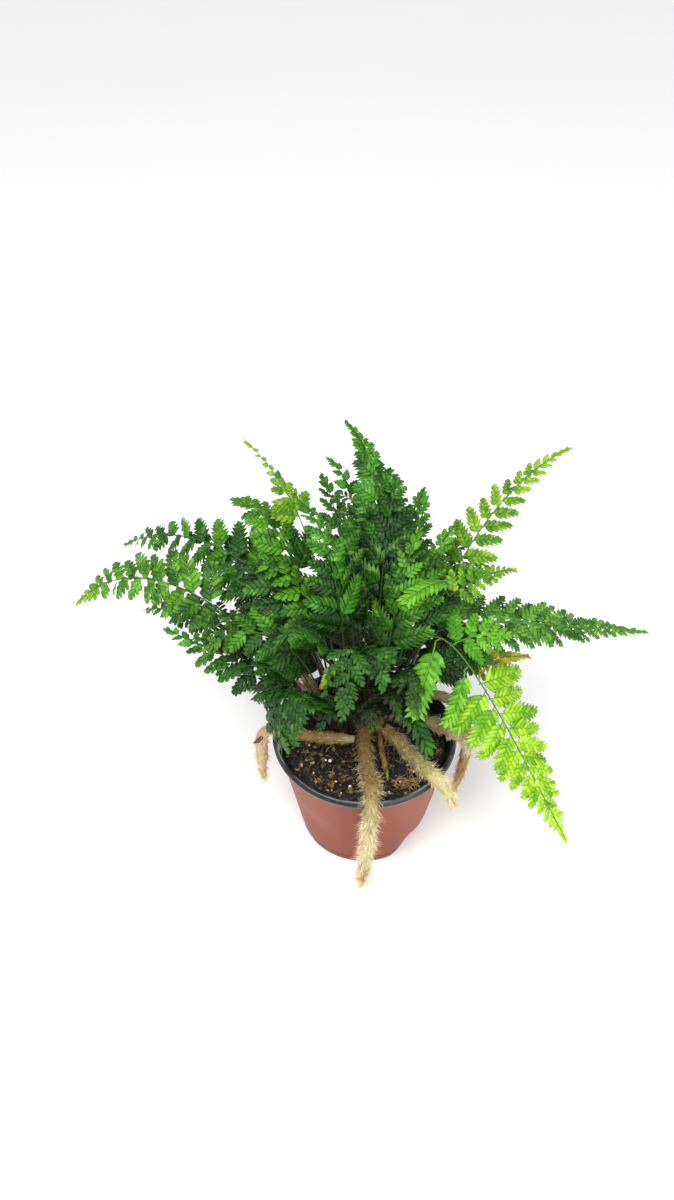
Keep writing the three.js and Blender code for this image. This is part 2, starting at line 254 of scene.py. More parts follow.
def black_plastic():
    finish = Finish("black_plastic")
    clouds, dust = finish.noise(60, 4), finish.noise(420, 5, 0.7)
    dusty = ((dust - 0.52) * 4).kept() * 0.35
    across, deep = finish.axis(0), finish.axis(1)
    out = (across * across + deep * deep).sum("SQRT")
    # Painted highlight: a pale grey line along the rim's crest, broken up by clouds.
    painted_crest_highlight = (1 - (out - RIM_CREST).sum("ABSOLUTE") * 1500).kept() * ((clouds - 0.4) * 5).kept()
    return finish.lay(
        Base_Color=finish.mix(painted_crest_highlight * 0.7, finish.mix(dusty, (24, 24, 28), (100, 96, 92)), (150, 152, 162)),
        Roughness=0.2 + clouds * 0.2 + dusty * 0.3,
        Normal=finish.bump(clouds * 0.7 + dust * 0.12, 0.3, 0.0006),
        Specular_IOR_Level=0.5,
    )


# From the middle of the floor's underside out to the foot, up the wall, over the rim, and down inside to the floor.
outline = [
    (0, DISH_RISE), (DISH_RADIUS, DISH_RISE), (DISH_RADIUS + 2 * MM, 0), (FLOOR_RADIUS - 1.2 * MM, 0),
    (FLOOR_RADIUS, 1.2 * MM), (FLOOR_RADIUS + 0.9 * MM, FOOT_LINE),
    (WALL_TOP_RADIUS - 0.3 * MM, POT_HEIGHT - RIM_DEPTH - 1.2 * MM), (RIM_RADIUS - 0.7 * MM, POT_HEIGHT - RIM_DEPTH),
    (RIM_RADIUS, POT_HEIGHT - RIM_DEPTH / 2), (RIM_RADIUS - 1.2 * MM, POT_HEIGHT - 0.5 * MM),
    (RIM_RADIUS - 2.2 * MM, POT_HEIGHT), (WALL_TOP_RADIUS - 0.1 * MM, POT_HEIGHT - 1 * MM),
    (inner_radius(POT_HEIGHT - RIM_DEPTH), POT_HEIGHT - RIM_DEPTH), (inner_radius(2 * WALL), 2 * WALL),
    (inner_radius(WALL) - 1 * MM, WALL), (DISH_RADIUS + 2 * MM, WALL), (DISH_RADIUS, WALL + DISH_RISE),
    (0, WALL + DISH_RISE),
]
shell = spun(outline, POT_STEPS)
tall = [edge for edge in shell.edges if abs(edge.verts[0].co.z - edge.verts[1].co.z) > POT_HEIGHT / 3]
bmesh.ops.subdivide_edges(shell, edges=tall, cuts=WALL_RINGS, use_grid_fill=True)
# Only the rings where the outline turns sharply are rounded.
rings = [
    edge for edge in shell.edges
    if edge.is_manifold and edge.calc_face_angle(0) > 0.3
    and abs(edge.verts[0].co.z - edge.verts[1].co.z) < SAME_PLACE
]
bmesh.ops.bevel(shell, geom=rings, affect="EDGES", offset=0.32 * MM, segments=2, profile=0.5, material=-1,
                clamp_overlap=True)
# Where fingers have pushed the thin wall in: a dent's middle, its reach and its push.
DENTS = [
    ((31, -25, 2), 20, (-2.2, 1.8, 3.0)),
    ((45, -20, 52), 17, (-1.5, 0.7, 0)),
    ((-30, -36, 30), 20, (0.8, 0.9, 0)),
    ((38, 32, 34), 22, (-1.2, -1.0, 0)),
]
for middle, reach, push in DENTS:
    for vert in shell.verts:
        near = 1 - (vert.co - Vector(middle) * MM).length / (reach * MM)
        if near > 0:
            vert.co += Vector(push) * MM * (near * near * (3 - 2 * near))
for face in shell.faces:
    middle = face.calc_center_median()
    outside = face.normal.dot(Vector((middle.x, middle.y, 0))) > 0 or face.normal.z < -0.5
    below_rim = middle.z < POT_HEIGHT - RIM_DEPTH - 0.5 * MM
    face.material_index = 0 if outside and below_rim else 1
finishes = [terracotta_plastic(), black_plastic()]
pot = stands("pot_shell", mesh_from("pot_shell", shell, True), finishes, "pot", "pot")

slots = bmesh.new()
for i in range(SLOTS):
    turn = Matrix.Rotation((i + 0.5) / SLOTS * 2 * math.pi, 4, "Z")
    size = Matrix.Diagonal((SLOT_DEPTH, SLOT_WIDTH, SLOT_HEIGHT * 2, 1))
    bmesh.ops.create_cube(slots, size=1, matrix=turn @ Matrix.Translation((FLOOR_RADIUS, 0, 0)) @ size)
bmesh.ops.bevel(slots, geom=slots.edges[:], affect="EDGES", offset=0.6 * MM, segments=2, profile=0.5, material=-1)
cutter = placed("slot_cutter", mesh_from("slot_cutter", slots))
cut = pot.modifiers.new("slots", "BOOLEAN")
cut.operation = "DIFFERENCE"
cut.solver = "EXACT"
cut.object = cutter
with_slots = pot.evaluated_get(bpy.context.evaluated_depsgraph_get())
drained = bpy.data.meshes.new_from_object(with_slots)
pot.modifiers.clear()
pot.data = drained
bpy.data.objects.remove(cutter)

# ---------------------------------------------------------------------------
# The soil: dark damp peat with chips of bark, crumbs, and a few white grains of
# perlite. It fills the pot to a few millimetres under the rim, loosely, and the
# pieces lie as they fell.

SOIL_TOP = 71 * MM
SOIL_EDGE = inner_radius(SOIL_TOP) - 0.3 * MM
LEVEL_SHARE = 0.86
CRUMBS = 2600
CHIPS = 420
scattering = random.Random(4)


def soil_height(x, y):
    """How high the soil lies at a place: uneven in clods, and lower against the wall."""
    place = Vector((x, y, 0)) / MM
    clods = noise.noise(place * 0.11) * 1.6 + noise.noise(place * 0.32 + Vector((7, 3, 1))) * 0.9
    edge = max(0.0, math.hypot(x, y) / SOIL_EDGE - LEVEL_SHARE) / (1 - LEVEL_SHARE)
    return SOIL_TOP + (clods - 1.2 * edge * edge) * MM


def mark_points(mesh, mark, values):
    """Gives each vertex of a mesh its own number or colour, under a name that materials read."""
    values = np.asarray(values, np.float32)
    if values.ndim == 1:
        layer = mesh.attributes.get(mark) or mesh.attributes.new(mark, "FLOAT", "POINT")
        layer.data.foreach_set("value", values)
    else:
        opaque = np.hstack([values, np.ones((len(values), 1), np.float32)])
        mesh.attributes.new(mark, "FLOAT_COLOR", "POINT").data.foreach_set("color", opaque.ravel())


def gathered(name, placings, **marks):
    """One mesh out of many copies of small ones, each put where its matrix says and marked with its own values."""
    whole = bmesh.new()
    for mesh, place in placings:
        at_home = np.empty(len(mesh.vertices) * 3, np.float32)
        mesh.vertices.foreach_get("co", at_home)
        mesh.transform(place)
        whole.from_mesh(mesh, face_normals=False, vertex_normals=False)
        mesh.vertices.foreach_set("co", at_home)
    joined = bpy.data.meshes.new(name)
    whole.to_mesh(joined)
    whole.free()
    sizes = [len(mesh.vertices) for mesh, _ in placings]
    for mark, values in marks.items():
        mark_points(joined, mark, np.repeat(np.array(values, np.float32), sizes, axis=0))
    return joined


def crumb(name, unevenness, detail):
    """A lump a millimetre across, as it breaks off: a sphere with each corner pushed in or out."""
    bm = bmesh.new()
    bmesh.ops.create_icosphere(bm, subdivisions=detail, radius=0.5 * MM)
    for vert in bm.verts:
        vert.co *= 1 + unevenness * scattering.uniform(-1, 1)
    return mesh_from(name, bm)


def turned_at(x, y, z, size):
    """Where a small thing lies: at a place, turned any way round and tipped a little, and of a size."""
    turn = Matrix.Rotation(scattering.uniform(0, 6.28), 4, "Z")
    tip = Matrix.Rotation(scattering.uniform(-0.6, 0.6), 4, "X")
    return Matrix.Translation((x, y, z)) @ turn @ tip @ Matrix.Diagonal((*size, 1))


def uneven(size, *limits):
    """A size along each axis, drawn between that axis's limits."""
    return tuple(size * scattering.uniform(*pair) for pair in limits)


def anywhere(reach):
    """A place on the soil, drawn evenly over it."""
    out = reach * math.sqrt(scattering.random())
    turn = scattering.uniform(0, 2 * math.pi)
    return out * math.cos(turn), out * math.sin(turn)


def damp_peat():
    finish = Finish("damp_peat")
    tint = finish.mark("tint")
    fine, coarse = finish.noise(700, 6, 0.7), finish.noise(160, 4)
    tone = (tint * 0.8 + (fine - 0.5) * 0.9 + (coarse - 0.5) * 0.5).kept()
    return finish.lay(
        Base_Color=finish.ramp(tone, (0.0, (14, 14, 15)), (0.35, (34, 29, 22)), (0.6, (66, 54, 32)),
                               (0.8, (116, 98, 54)), (1.0, (178, 154, 98))),
        Roughness=0.3 + fine * 0.55,
        Normal=finish.bump(fine + coarse * 0.6, 0.7, 0.0008),
        Specular_IOR_Level=0.5,
    )


def bark():
    finish = Finish("bark")
    streaks = finish.noise(900, 5, 0.65, (1, 0.35, 1))
    tone = (finish.mark("tint") * 0.75 + (streaks - 0.5) * 1.3 + 0.1).kept()
    return finish.lay(
        Base_Color=finish.ramp(tone, (0.0, (40, 30, 20)), (0.35, (84, 62, 38)), (0.65, (140, 106, 62)),
                               (1.0, (204, 174, 112))),
        Roughness=0.6 + streaks * 0.25,
        Normal=finish.bump(streaks, 0.8, 0.0006),
    )


def perlite():
    finish = Finish("perlite")
    pores = finish.noise(1500)
    return finish.lay(
        Base_Color=finish.mix(pores, (206, 200, 188), (250, 249, 244)),
        Roughness=0.75 + pores * 0.15,
        Normal=finish.bump(pores, 0.6, 0.0003),
    )


peat_finish, bark_finish = damp_peat(), bark()
SOIL_RINGS = 20
bed = [(0, 2 * MM), (inner_radius(WALL) - 4 * MM, 2 * MM), (inner_radius(20 * MM) - 3.4 * MM, 20 * MM),
       (inner_radius(45 * MM) - 2 * MM, 45 * MM), (SOIL_EDGE, SOIL_TOP - 2.5 * MM)]
bed += [(SOIL_EDGE * (1 - i / SOIL_RINGS), SOIL_TOP) for i in range(SOIL_RINGS + 1)]
filling = spun(bed, 96)
for vert in filling.verts:
    if vert.co.z > SOIL_TOP - 1 * MM:
        vert.co.z = soil_height(vert.co.x, vert.co.y)
stands("soil_bed", mesh_from("soil_bed", filling, True), [peat_finish], "soil", "soil")

crumbs = [crumb("crumb", 0.28, 1) for _ in range(6)]
placings, tints = [], []
for _ in range(CRUMBS):
    x, y = anywhere(SOIL_EDGE - 1.2 * MM)
    size = 0.7 + 2.6 * scattering.random() ** 2.2
    shape = uneven(size, (0.7, 1.5), (0.6, 1.1), (0.5, 0.9))
    placings.append((scattering.choice(crumbs), turned_at(x, y, soil_height(x, y) + size * 0.16 * MM, shape)))
    tints.append(scattering.random() ** 1.8)
stands("soil_crumbs", gathered("soil_crumbs", placings, tint=tints), [peat_finish], "soil")


def chip(name):
    """A flake of bark: a thin board, broken and split along its grain."""
    bm = bmesh.new()
    bmesh.ops.create_cube(bm, size=1 * MM, matrix=Matrix.Diagonal((1.0, 0.55, 0.3, 1)))
    bmesh.ops.subdivide_edges(bm, edges=bm.edges, cuts=2, use_grid_fill=True)
    for vert in bm.verts:
        vert.co.x *= 1 + scattering.uniform(-0.22, 0.22)
        vert.co.y *= 1 + scattering.uniform(-0.3, 0.3)
        vert.co.z += scattering.uniform(-0.07, 0.07) * MM
    return mesh_from(name, bm)


# Bark lies all over the soil. The larger lumps, each of a few chips, have these places and sizes in millimetres.
LUMPS = [
    (-34, -24, 6.5), (-28, -33, 5), (-19, -36, 5.5), (-20, -28, 6), (-13, -30, 5), (-9, -31, 6.5),
    (-24, -21, 4.5), (-30, -13, 4.5), (-8, -40, 4.5), (10, -38, 4.5), (17, -33, 5), (22, -37, 4), (38, -18, 5),
    (44, -10, 5), (34, -8, 4.5), (-40, 10, 5), (-30, 24, 5), (10, 42, 5), (26, 36, 4.5), (-10, 40, 6),
    (38, 20, 4.5),
]
chips = [chip("bark_chip") for _ in range(6)]
placings, tints = [], []
for x, y, size in LUMPS:
    height = soil_height(x * MM, y * MM) + 0.8 * MM
    for _ in range(3):
        shape = uneven(size, (0.3, 0.5), (0.4, 0.65), (0.5, 0.8))
        at_x, at_y = [(middle + scattering.uniform(-0.28, 0.28) * size) * MM for middle in (x, y)]
        placings.append((scattering.choice(chips), turned_at(at_x, at_y, height, shape)))
        tints.append(scattering.uniform(0.2, 0.7))
for _ in range(CHIPS):
    x, y = anywhere(SOIL_EDGE - 2.5 * MM)
    size = 0.8 + 2.2 * scattering.random() ** 2.4
    placings.append((scattering.choice(chips), turned_at(x, y, soil_height(x, y) + 0.5 * MM, (size, size, size))))
    tints.append(scattering.random() ** 1.5)
stands("soil_bark", gathered("soil_bark", placings, tint=tints), [bark_finish], "soil")

# The white grains of perlite: where each lies on the soil, and its size, in millimetres.
GRAINS = [
    (-20.5, -18.5, 2.4), (-23, -17, 1.5), (-9, -37, 1.9), (20, -34, 1.7), (-14, -42, 1.3), (4, -33, 1.4),
    (-17, -33, 1.3), (28, -26, 1.4), (-33, -6, 1.5), (-25, 30, 2), (16, 38, 1.8), (40, 8, 1.6), (-4, -26, 1.4),
    (13, -41, 1.3), (-30, -28, 1.2), (31, -15, 1.3), (-42, -6, 1.4), (0, 44, 1.7), (-38, 18, 1.5),
]
grains = [crumb("perlite_grain", 0.16, 2) for _ in range(3)]
placings = []
for x, y, size in GRAINS:
    height = soil_height(x * MM, y * MM) + size * 0.4 * MM
    place = turned_at(x * MM, y * MM, height, (size, size * 0.85, size * 0.8))
    placings.append((scattering.choice(grains), place))
stands("soil_perlite", gathered("soil_perlite", placings), [perlite()], "soil")

# ---------------------------------------------------------------------------
# The rhizomes: creeping stems as thick as a finger joint that grow over the
# soil and hang over the rim. Each is a knobbly brown core, close set with long
# papery scales like fur, which point outwards and towards the growing tip.

# Each arm, in millimetres: the points its middle passes through, from its old end to its tip; its radius; the length
# of its fur, how far that stands off, and how many scales it is grown from; and the fur's colours along it.
ARMS = {
    "main": [
        dict(route=[(2, 26, 75), (2, 15, 77), (0, -2, 75.5), (0, -17, 75.5), (2, -36, 79), (3, -51, 84),
                    (2, -60.5, 79), (1, -61, 55), (-0.5, -61, 33), (-2, -61, 10)],
             radius=4.8, fur=3.4, lift=0.76, count=8200,
             colours=[(0.0, (122, 92, 58)), (0.16, (160, 128, 74)), (0.36, (182, 156, 92)), (0.52, (200, 182, 116)),
                      (0.66, (250, 230, 180)), (0.84, (252, 232, 186)), (0.93, (232, 196, 130)),
                      (1.0, (255, 246, 186))]),
        dict(route=[(2, 18, 76), (8, 7, 76), (17, -2, 75.5), (25, -14, 76), (33, -31, 80), (39, -41, 84),
                    (46, -46, 76), (49, -46, 67)],
             radius=4.6, fur=3.2, lift=0.34, count=6400,
             colours=[(0.0, (150, 118, 78)), (0.3, (190, 168, 104)), (0.55, (214, 198, 130)), (0.72, (250, 236, 166)),
                      (0.95, (255, 250, 184)), (1.0, (214, 160, 96))]),
        dict(route=[(4, 17, 76), (20, 13, 75.5), (38, 8, 77), (46, 1, 81), (52, -8, 84), (58, -12, 82),
                    (61, -13, 74)],
             radius=4.2, fur=2.8, lift=0.34, count=4200,
             colours=[(0.0, (140, 106, 66)), (0.4, (250, 226, 164)), (0.7, (255, 242, 196)), (1.0, (255, 240, 196))]),
        dict(route=[(9, 5, 75.5), (9.5, -8, 74), (11, -20, 74), (12.5, -34, 75)],
             radius=2, fur=1.4, lift=0.25, count=420,
             colours=[(0.0, (130, 92, 54)), (0.5, (168, 128, 62)), (0.72, (176, 150, 66)), (0.84, (150, 170, 60)),
                      (1.0, (176, 204, 76))]),
    ],
    "left": [
        dict(route=[(-6, -5, 75.5), (-15, -4, 75.5), (-27, -3, 75.5), (-38, -2, 76), (-46, -2, 79.5), (-53, -3, 84),
                    (-60.5, -4, 78), (-61.5, -5, 66), (-62, -5, 52), (-62, -5, 40)],
             radius=4.4, fur=2.5, lift=0.36, count=5200,
             colours=[(0.0, (232, 214, 150)), (0.1, (196, 172, 92)), (0.32, (172, 144, 66)), (0.44, (150, 108, 68)),
                      (0.54, (236, 202, 150)), (0.75, (255, 226, 176)), (0.93, (252, 218, 156)),
                      (1.0, (252, 234, 166))]),
        dict(route=[(-59, -4, 80), (-62, -8, 79), (-65, -10, 78)], radius=1.7, fur=1.2, lift=0.4, count=160,
             colours=[(0.0, (150, 110, 74)), (1.0, (96, 62, 36))]),
    ],
    "right_back": [
        dict(route=[(30, 26, 75.5), (37, 26, 79.5), (44, 24, 83.6), (50, 21, 84), (57, 17, 81), (61.5, 12, 74),
                    (63, 6, 62), (62, 1, 50), (59, -4, 38), (55, -8, 27)],
             radius=3.8, fur=2.4, lift=0.45, count=4300,
             colours=[(0.0, (160, 118, 76)), (0.3, (252, 228, 174)), (0.5, (236, 202, 142)), (0.8, (216, 176, 108)),
                      (1.0, (242, 214, 160))]),
        dict(route=[(62, 5, 60), (66, 2, 59)], radius=2.2, fur=1.0, lift=0.4, count=90,
             colours=[(0.0, (130, 86, 44)), (1.0, (96, 58, 30))]),
    ],
    "back_left": [
        dict(route=[(-24, 22, 75.5), (-33, 26, 79.5), (-42, 31, 84), (-53, 36, 83.5), (-62, 41, 77)],
             radius=4.2, fur=3.0, lift=0.4, count=2300,
             colours=[(0.0, (150, 112, 74)), (0.4, (216, 184, 132)), (1.0, (250, 236, 190))]),
        dict(route=[(-28, 25, 76.5), (-33, 35, 81), (-39, 43, 84), (-48, 52, 82)],
             radius=3.6, fur=2.8, lift=0.4, count=1700,
             colours=[(0.0, (150, 112, 74)), (0.4, (210, 176, 126)), (1.0, (250, 236, 190))]),
    ],
}
CREAM = np.array(srgb(255, 240, 214))
CORE_SHADE = 0.45
LONG_HAIRS = 0.3
DARK_HAIRS = 0.5
TUFT_SIZE = 0.34
TUFT_LEAN = 0.75
SCALE_FLATNESS = 0.45
CORE_SIDES = 14
SPAN_STEPS = 60
growing = random.Random(11)
noise.seed_set(11)


def route_of(points, step=0.5 * MM):
    """Places along a smooth line through the points, each a fixed step after the last, with its direction."""
    knots = [Vector(point) * MM for point in points]
    knots = [2 * knots[0] - knots[1]] + knots + [2 * knots[-1] - knots[-2]]
    line = []
    for before, start, end, after in zip(knots, knots[1:], knots[2:], knots[3:]):
        for i in range(SPAN_STEPS):
            t = i / SPAN_STEPS
            line.append(0.5 * (2 * start + (end - before) * t + (2 * before - 5 * start + 4 * end - after) * t * t
                               + (3 * start - before - 3 * end + after) * t ** 3))
    line.append(knots[-2])
    run = np.concatenate([[0], np.cumsum([(b - a).length for a, b in zip(line, line[1:])])])
    count = max(8, round(run[-1] / step))
    stops = np.linspace(0, run[-1], count + 1)
    spread = [np.interp(stops, run, [place[i] for place in line]) for i in range(3)]
    even = [Vector(place) for place in zip(*spread)]
    ahead = [(even[min(i + 1, count)] - even[max(i - 1, 0)]).normalized() for i in range(count + 1)]
    return even, ahead


def matrix_of(arrows, lengths, place):
    """A matrix that lays X, Y and Z along three arrows, stretched to the lengths, at a place."""
    rows = [[arrow[i] * length for arrow, length in zip(arrows, lengths)] + [place[i]] for i in range(3)]
    return Matrix(rows + [[0, 0, 0, 1]])


def frames_of(route):
    """A matrix at each place of a route, whose Z looks along it and whose X doesn't twist."""
    across = Vector((0.6, 0.8, 0))
    found = []
    for middle, ahead in zip(*route):
        across = (across - ahead * across.dot(ahead)).normalized()
        found.append(matrix_of((across, ahead.cross(across), ahead), (1, 1, 1), middle))
    return found


def girth(arm, share):
    """The core's radius at a share of its length: blunt at its old end, knobbly, and drawn out to its tip."""
    start = arm["route"][0][0]
    knobs = 1 + 0.06 * math.sin(share * 41 + start) + 0.05 * math.sin(share * 97 + 2 * start)
    return arm["radius"] * MM * knobs * min(1, 0.55 + 5 * share, 0.28 + 3.2 * (1 - share)) * 0.78


def rod(name, frames, radii, sides):
    """A closed round bar: made straight with a ring for each frame, then each ring is put in its frame."""
    steps = len(frames) - 1
    bm = bmesh.new()
    bmesh.ops.create_cone(bm, cap_ends=True, segments=sides, radius1=1, radius2=1, depth=steps)
    long_edges = [edge for edge in bm.edges if abs(edge.verts[0].co.z - edge.verts[1].co.z) > steps / 2]
    bmesh.ops.subdivide_edges(bm, edges=long_edges, cuts=steps - 1, use_grid_fill=True)
    for vert in bm.verts:
        i = round(vert.co.z + steps / 2)
        vert.co = frames[i] @ Vector((vert.co.x * radii[i], vert.co.y * radii[i], 0))
    return mesh_from(name, bm, True)


def scale_hair(bow):
    """One scale of the fur at unit length: a thin three-sided point, bowed away from the stem."""
    bm = bmesh.new()
    bmesh.ops.create_cone(bm, cap_ends=True, segments=3, radius1=0.5, radius2=0, depth=1,
                          matrix=Matrix.Translation((0, 0, 0.5)))
    sides = [edge for edge in bm.edges if abs(edge.verts[0].co.z - edge.verts[1].co.z) > 0.5]
    bmesh.ops.subdivide_edges(bm, edges=sides, cuts=1)
    for vert in bm.verts:
        vert.co.x += bow * vert.co.z * vert.co.z
    return mesh_from("fur_scale", bm, True)


def colour_along(stops, share):
    """A colour between an arm's colour stops."""
    at = [place for place, _ in stops]
    return np.array([np.interp(share, at, [srgb(*colour)[i] for _, colour in stops]) for i in range(3)])


def outer_radius(height):
    """The radius of the pot's wall outside at a height."""
    return inner_radius(height) + WALL


def clears_pot(root, tip):
    """Whether a scale neither runs into the pot's wall nor far into the soil."""
    out, was_out = math.hypot(tip.x, tip.y), math.hypot(root.x, root.y)
    if tip.z > POT_HEIGHT + 0.3 * MM:
        return True
    if was_out > RIM_RADIUS - 1 * MM:
        return out > (RIM_RADIUS if tip.z > POT_HEIGHT - 6 * MM else outer_radius(tip.z)) + 0.2 * MM
    return out < inner_radius(tip.z) - 0.2 * MM and tip.z > soil_height(tip.x, tip.y) - 1.5 * MM


def furry():
    finish = Finish("rhizome_fur")
    colour = finish.add("Attribute", {"attribute_name": "fur"})
    fine = finish.noise(1400)
    return finish.lay(
        Base_Color=finish.mix(fine * 0.3, colour, (250, 236, 200), "SOFT_LIGHT"),
        Roughness=0.55 + fine * 0.25,
        Normal=finish.bump(fine, 0.4, 0.0003),
        Specular_IOR_Level=0.35,
    )


def core_of(name, arm, frames):
    """An arm's core with lumps on it, and the colour at each of its corners, as it shows between the scales."""
    shares = np.linspace(0, 1, len(frames))
    core = rod(name + "_core", frames[::2], [girth(arm, share) for share in shares[::2]], CORE_SIDES)
    middles = np.array([frame_at.translation for frame_at in frames[::2]])
    colours = []
    for vert in core.vertices:
        place = Vector(vert.co)
        lump = noise.noise(place / MM * 0.42) * 0.55 + noise.noise(place / MM * 1.3) * 0.22
        nearest = int(np.argmin(((middles - place) ** 2).sum(1)))
        out = place - Vector(middles[nearest])
        if out.length > 0.6 * MM:
            vert.co = place + out.normalized() * lump * MM * 0.7
        colours.append(colour_along(arm["colours"], nearest / len(middles)) * CORE_SHADE)
    return core, colours


def scale_on(arm, frames):
    """A scale of an arm's fur, its place and its colour, or None where the fur parts or the pot is in the way."""
    share = growing.random() ** 0.97
    frame_at = frames[min(int(share * len(frames)), len(frames) - 1)]
    around = growing.uniform(0, 2 * math.pi)
    outward = frame_at.to_3x3() @ Vector((math.cos(around), math.sin(around), 0))
    ahead = frame_at.to_3x3() @ Vector((0, 0, 1))
    root = frame_at.translation + outward * (girth(arm, share) - 0.3 * MM)
    clump = noise.noise(root / MM * TUFT_SIZE + Vector((9, 0, 4)))
    if clump < growing.gauss(-0.3, 0.1):
        return None
    tuft = noise.noise_vector(root / MM * TUFT_SIZE)
    stray = tuft * TUFT_LEAN + Vector([growing.gauss(0, 0.14) for _ in range(3)])
    long_hair = growing.random() < LONG_HAIRS and clump > -0.1
    lift = arm["lift"] * (0.4 + 0.78 * share) * growing.uniform(0.4, 1.6) * (1.8 if long_hair else 1)
    way = (outward * lift + ahead + stray).normalized()
    length = arm["fur"] * MM * growing.uniform(0.6, 1.25) * (1.75 if long_hair else 1)
    length *= min(1, 0.75 + 4 * (1 - share)) * (1 + 0.6 * clump) * min(1, 0.7 + 0.8 * share)
    if not clears_pot(root, root + way * length):
        return None
    width = growing.uniform(0.26 if long_hair else 0.24, 0.46) * MM
    flat = outward.cross(way).normalized()
    lying = way.cross(flat).normalized()
    place = matrix_of((lying, flat, way), (width * SCALE_FLATNESS, width, length), root)
    scale = growing.choice(scales)

    colour = colour_along(arm["colours"], share + growing.gauss(0, 0.025))
    pale = colour.max() ** 2
    dark = growing.random() <= DARK_HAIRS * (1.4 - pale)
    shade = growing.uniform(0.12, 0.5) if dark else growing.uniform(1.6, 3.8)
    bright = (1 - math.exp(-2.6 * shade * colour.max())) ** (0.6 if long_hair else 1)
    # Painted shade: short scales in the hollows between tufts are painted darker.
    bright *= 1 if long_hair else min(1, max(0.2 + 0.5 * pale, 0.95 + 2.4 * clump))
    colour *= bright / colour.max()
    # Long scales are mixed well towards cream, partly their own pale colour and partly a painted highlight; short
    # ones only a little.
    colour += (bright * CREAM - colour) * (0.45 if long_hair else 0.1)
    return scale, place, colour


fur_finish = furry()
scales = [scale_hair(bow) for bow in (0.0, 0.14, 0.28)]
for name, arms in ARMS.items():
    cores, core_colours, fur = [], [], []
    for arm in arms:
        frames = frames_of(route_of(arm["route"]))
        core, colours = core_of(name, arm, frames)
        cores.append((core, Matrix.Identity(4)))
        core_colours += colours
        fur += filter(None, [scale_on(arm, frames) for _ in range(arm["count"])])
    core_mesh = gathered("rhizome_" + name + "_core", cores)
    mark_points(core_mesh, "fur", core_colours)
    stands("rhizome_" + name + "_core", core_mesh, [fur_finish], "rhizome")
    placings = [(scale, place) for scale, place, _ in fur]
    furred = gathered("rhizome_" + name + "_furry", placings, fur=[colour for _, _, colour in fur])
    stands("rhizome_" + name + "_furry", furred, [fur_finish], "rhizome", "rhizome_" + name)


def strand(name, points, thick, thin, sides=6):
    """A thin bar along a smooth line, from one radius to another."""
    frames = frames_of(route_of(points, 1 * MM))
    steps = len(frames) - 1
    return rod(name, frames, [(thick + (thin - thick) * i / steps) * MM for i in range(steps + 1)], sides)


# Old stalks whose leaves have gone, still standing on the rhizomes: their points, and their radius at each end.
STALKS = [
    ([(10, -17, 79), (11.5, -17, 86), (13, -15, 94)], 0.7, 0.45),
    ([(4, -6, 80), (6, -7, 92), (13, -9, 100)], 0.6, 0.35),
    ([(11, -30, 75), (11.6, -30.5, 80), (12.6, -31.5, 86)], 0.5, 0.3),
    ([(-5, 8, 76), (-7, 6, 98), (-12, 4, 122)], 0.6, 0.35),
    ([(3, 8, 78), (3, 5, 100), (1, 4, 128)], 0.6, 0.35),
    ([(8, 14, 76), (11, 12, 96), (12, 12, 120)], 0.6, 0.35),
]
stalks = gathered("old_stalks", [(strand("stalk", *stalk), Matrix.Identity(4)) for stalk in STALKS])
wood = Finish("old_stalk")
grain = wood.noise(900, places=(1, 1, 0.2))
stands("old_stalks", stalks, [wood.lay(
    Base_Color=wood.mix(grain, (52, 30, 22), (126, 84, 52)),
    Roughness=0.45 + grain * 0.2,
    Normal=wood.bump(grain, 0.5, 0.0003),
)], "rhizome")

# Golden threads of root and fallen scale lie on the soil, most of them against the rim at the front right.
FIBRES = 420
FIBRE_HEAP = (30, -36)
fibres = [
    strand("fibre", [(0, 0, 0), (2, bow, 0.5), (4.4, bow * 0.4, 0.1)], 0.14, 0.07, 3) for bow in (0.5, 1.1, -0.8)
]
placings, tints = [], []
for i in range(FIBRES):
    x, y = anywhere(SOIL_EDGE - 5 * MM)
    if i % 5 < 3:
        x, y = [(middle + scattering.gauss(0, spread)) * MM for middle, spread in zip(FIBRE_HEAP, (5.5, 2.2))]
    if math.hypot(x, y) < SOIL_EDGE - 4 * MM:
        size = scattering.uniform(0.6, 1.5)
        height = soil_height(x, y) + scattering.uniform(0.6, 1.6) * MM
        placings.append((scattering.choice(fibres), turned_at(x, y, height, (size, size, size * 1.4))))
        tints.append(scattering.uniform(0.7, 1.2))
stands("soil_fibres", gathered("soil_fibres", placings, tint=tints), [bark_finish], "soil")

# ---------------------------------------------------------------------------
# The fronds: each a wiry stem that arches out of the soil and carries a flat,
# lacy blade, cut three times over into leaflets, lobes and teeth. The oldest
# are dark and leathery, and the youngest thin and bright lime.

# Half of each lobe's outline, from its base to its tip: how far along it, and half its breadth there.
LOBES = {
    "packed": [(0, 0.5), (0.24, 0.54), (0.5, 0.55), (0.66, 0.46), (0.64, 0.37), (0.83, 0.3), (0.8, 0.2),
               (0.95, 0.12), (0.97, 0.04)],
    "fan": [(0, 0.42), (0.24, 0.48), (0.5, 0.58), (0.72, 0.62), (0.68, 0.45), (0.88, 0.48), (0.98, 0.34),
            (0.9, 0.17), (1.0, 0.1)],
    "simple": [(0, 0.24), (0.2, 0.44), (0.4, 0.48), (0.38, 0.38), (0.6, 0.39), (0.58, 0.27), (0.79, 0.25),
               (0.77, 0.13), (0.95, 0.07)],
    "narrow": [(0, 0.3), (0.22, 0.32), (0.46, 0.48), (0.68, 0.56), (0.64, 0.38), (0.86, 0.44), (0.98, 0.32),
               (0.88, 0.14), (1.0, 0.08)],
}
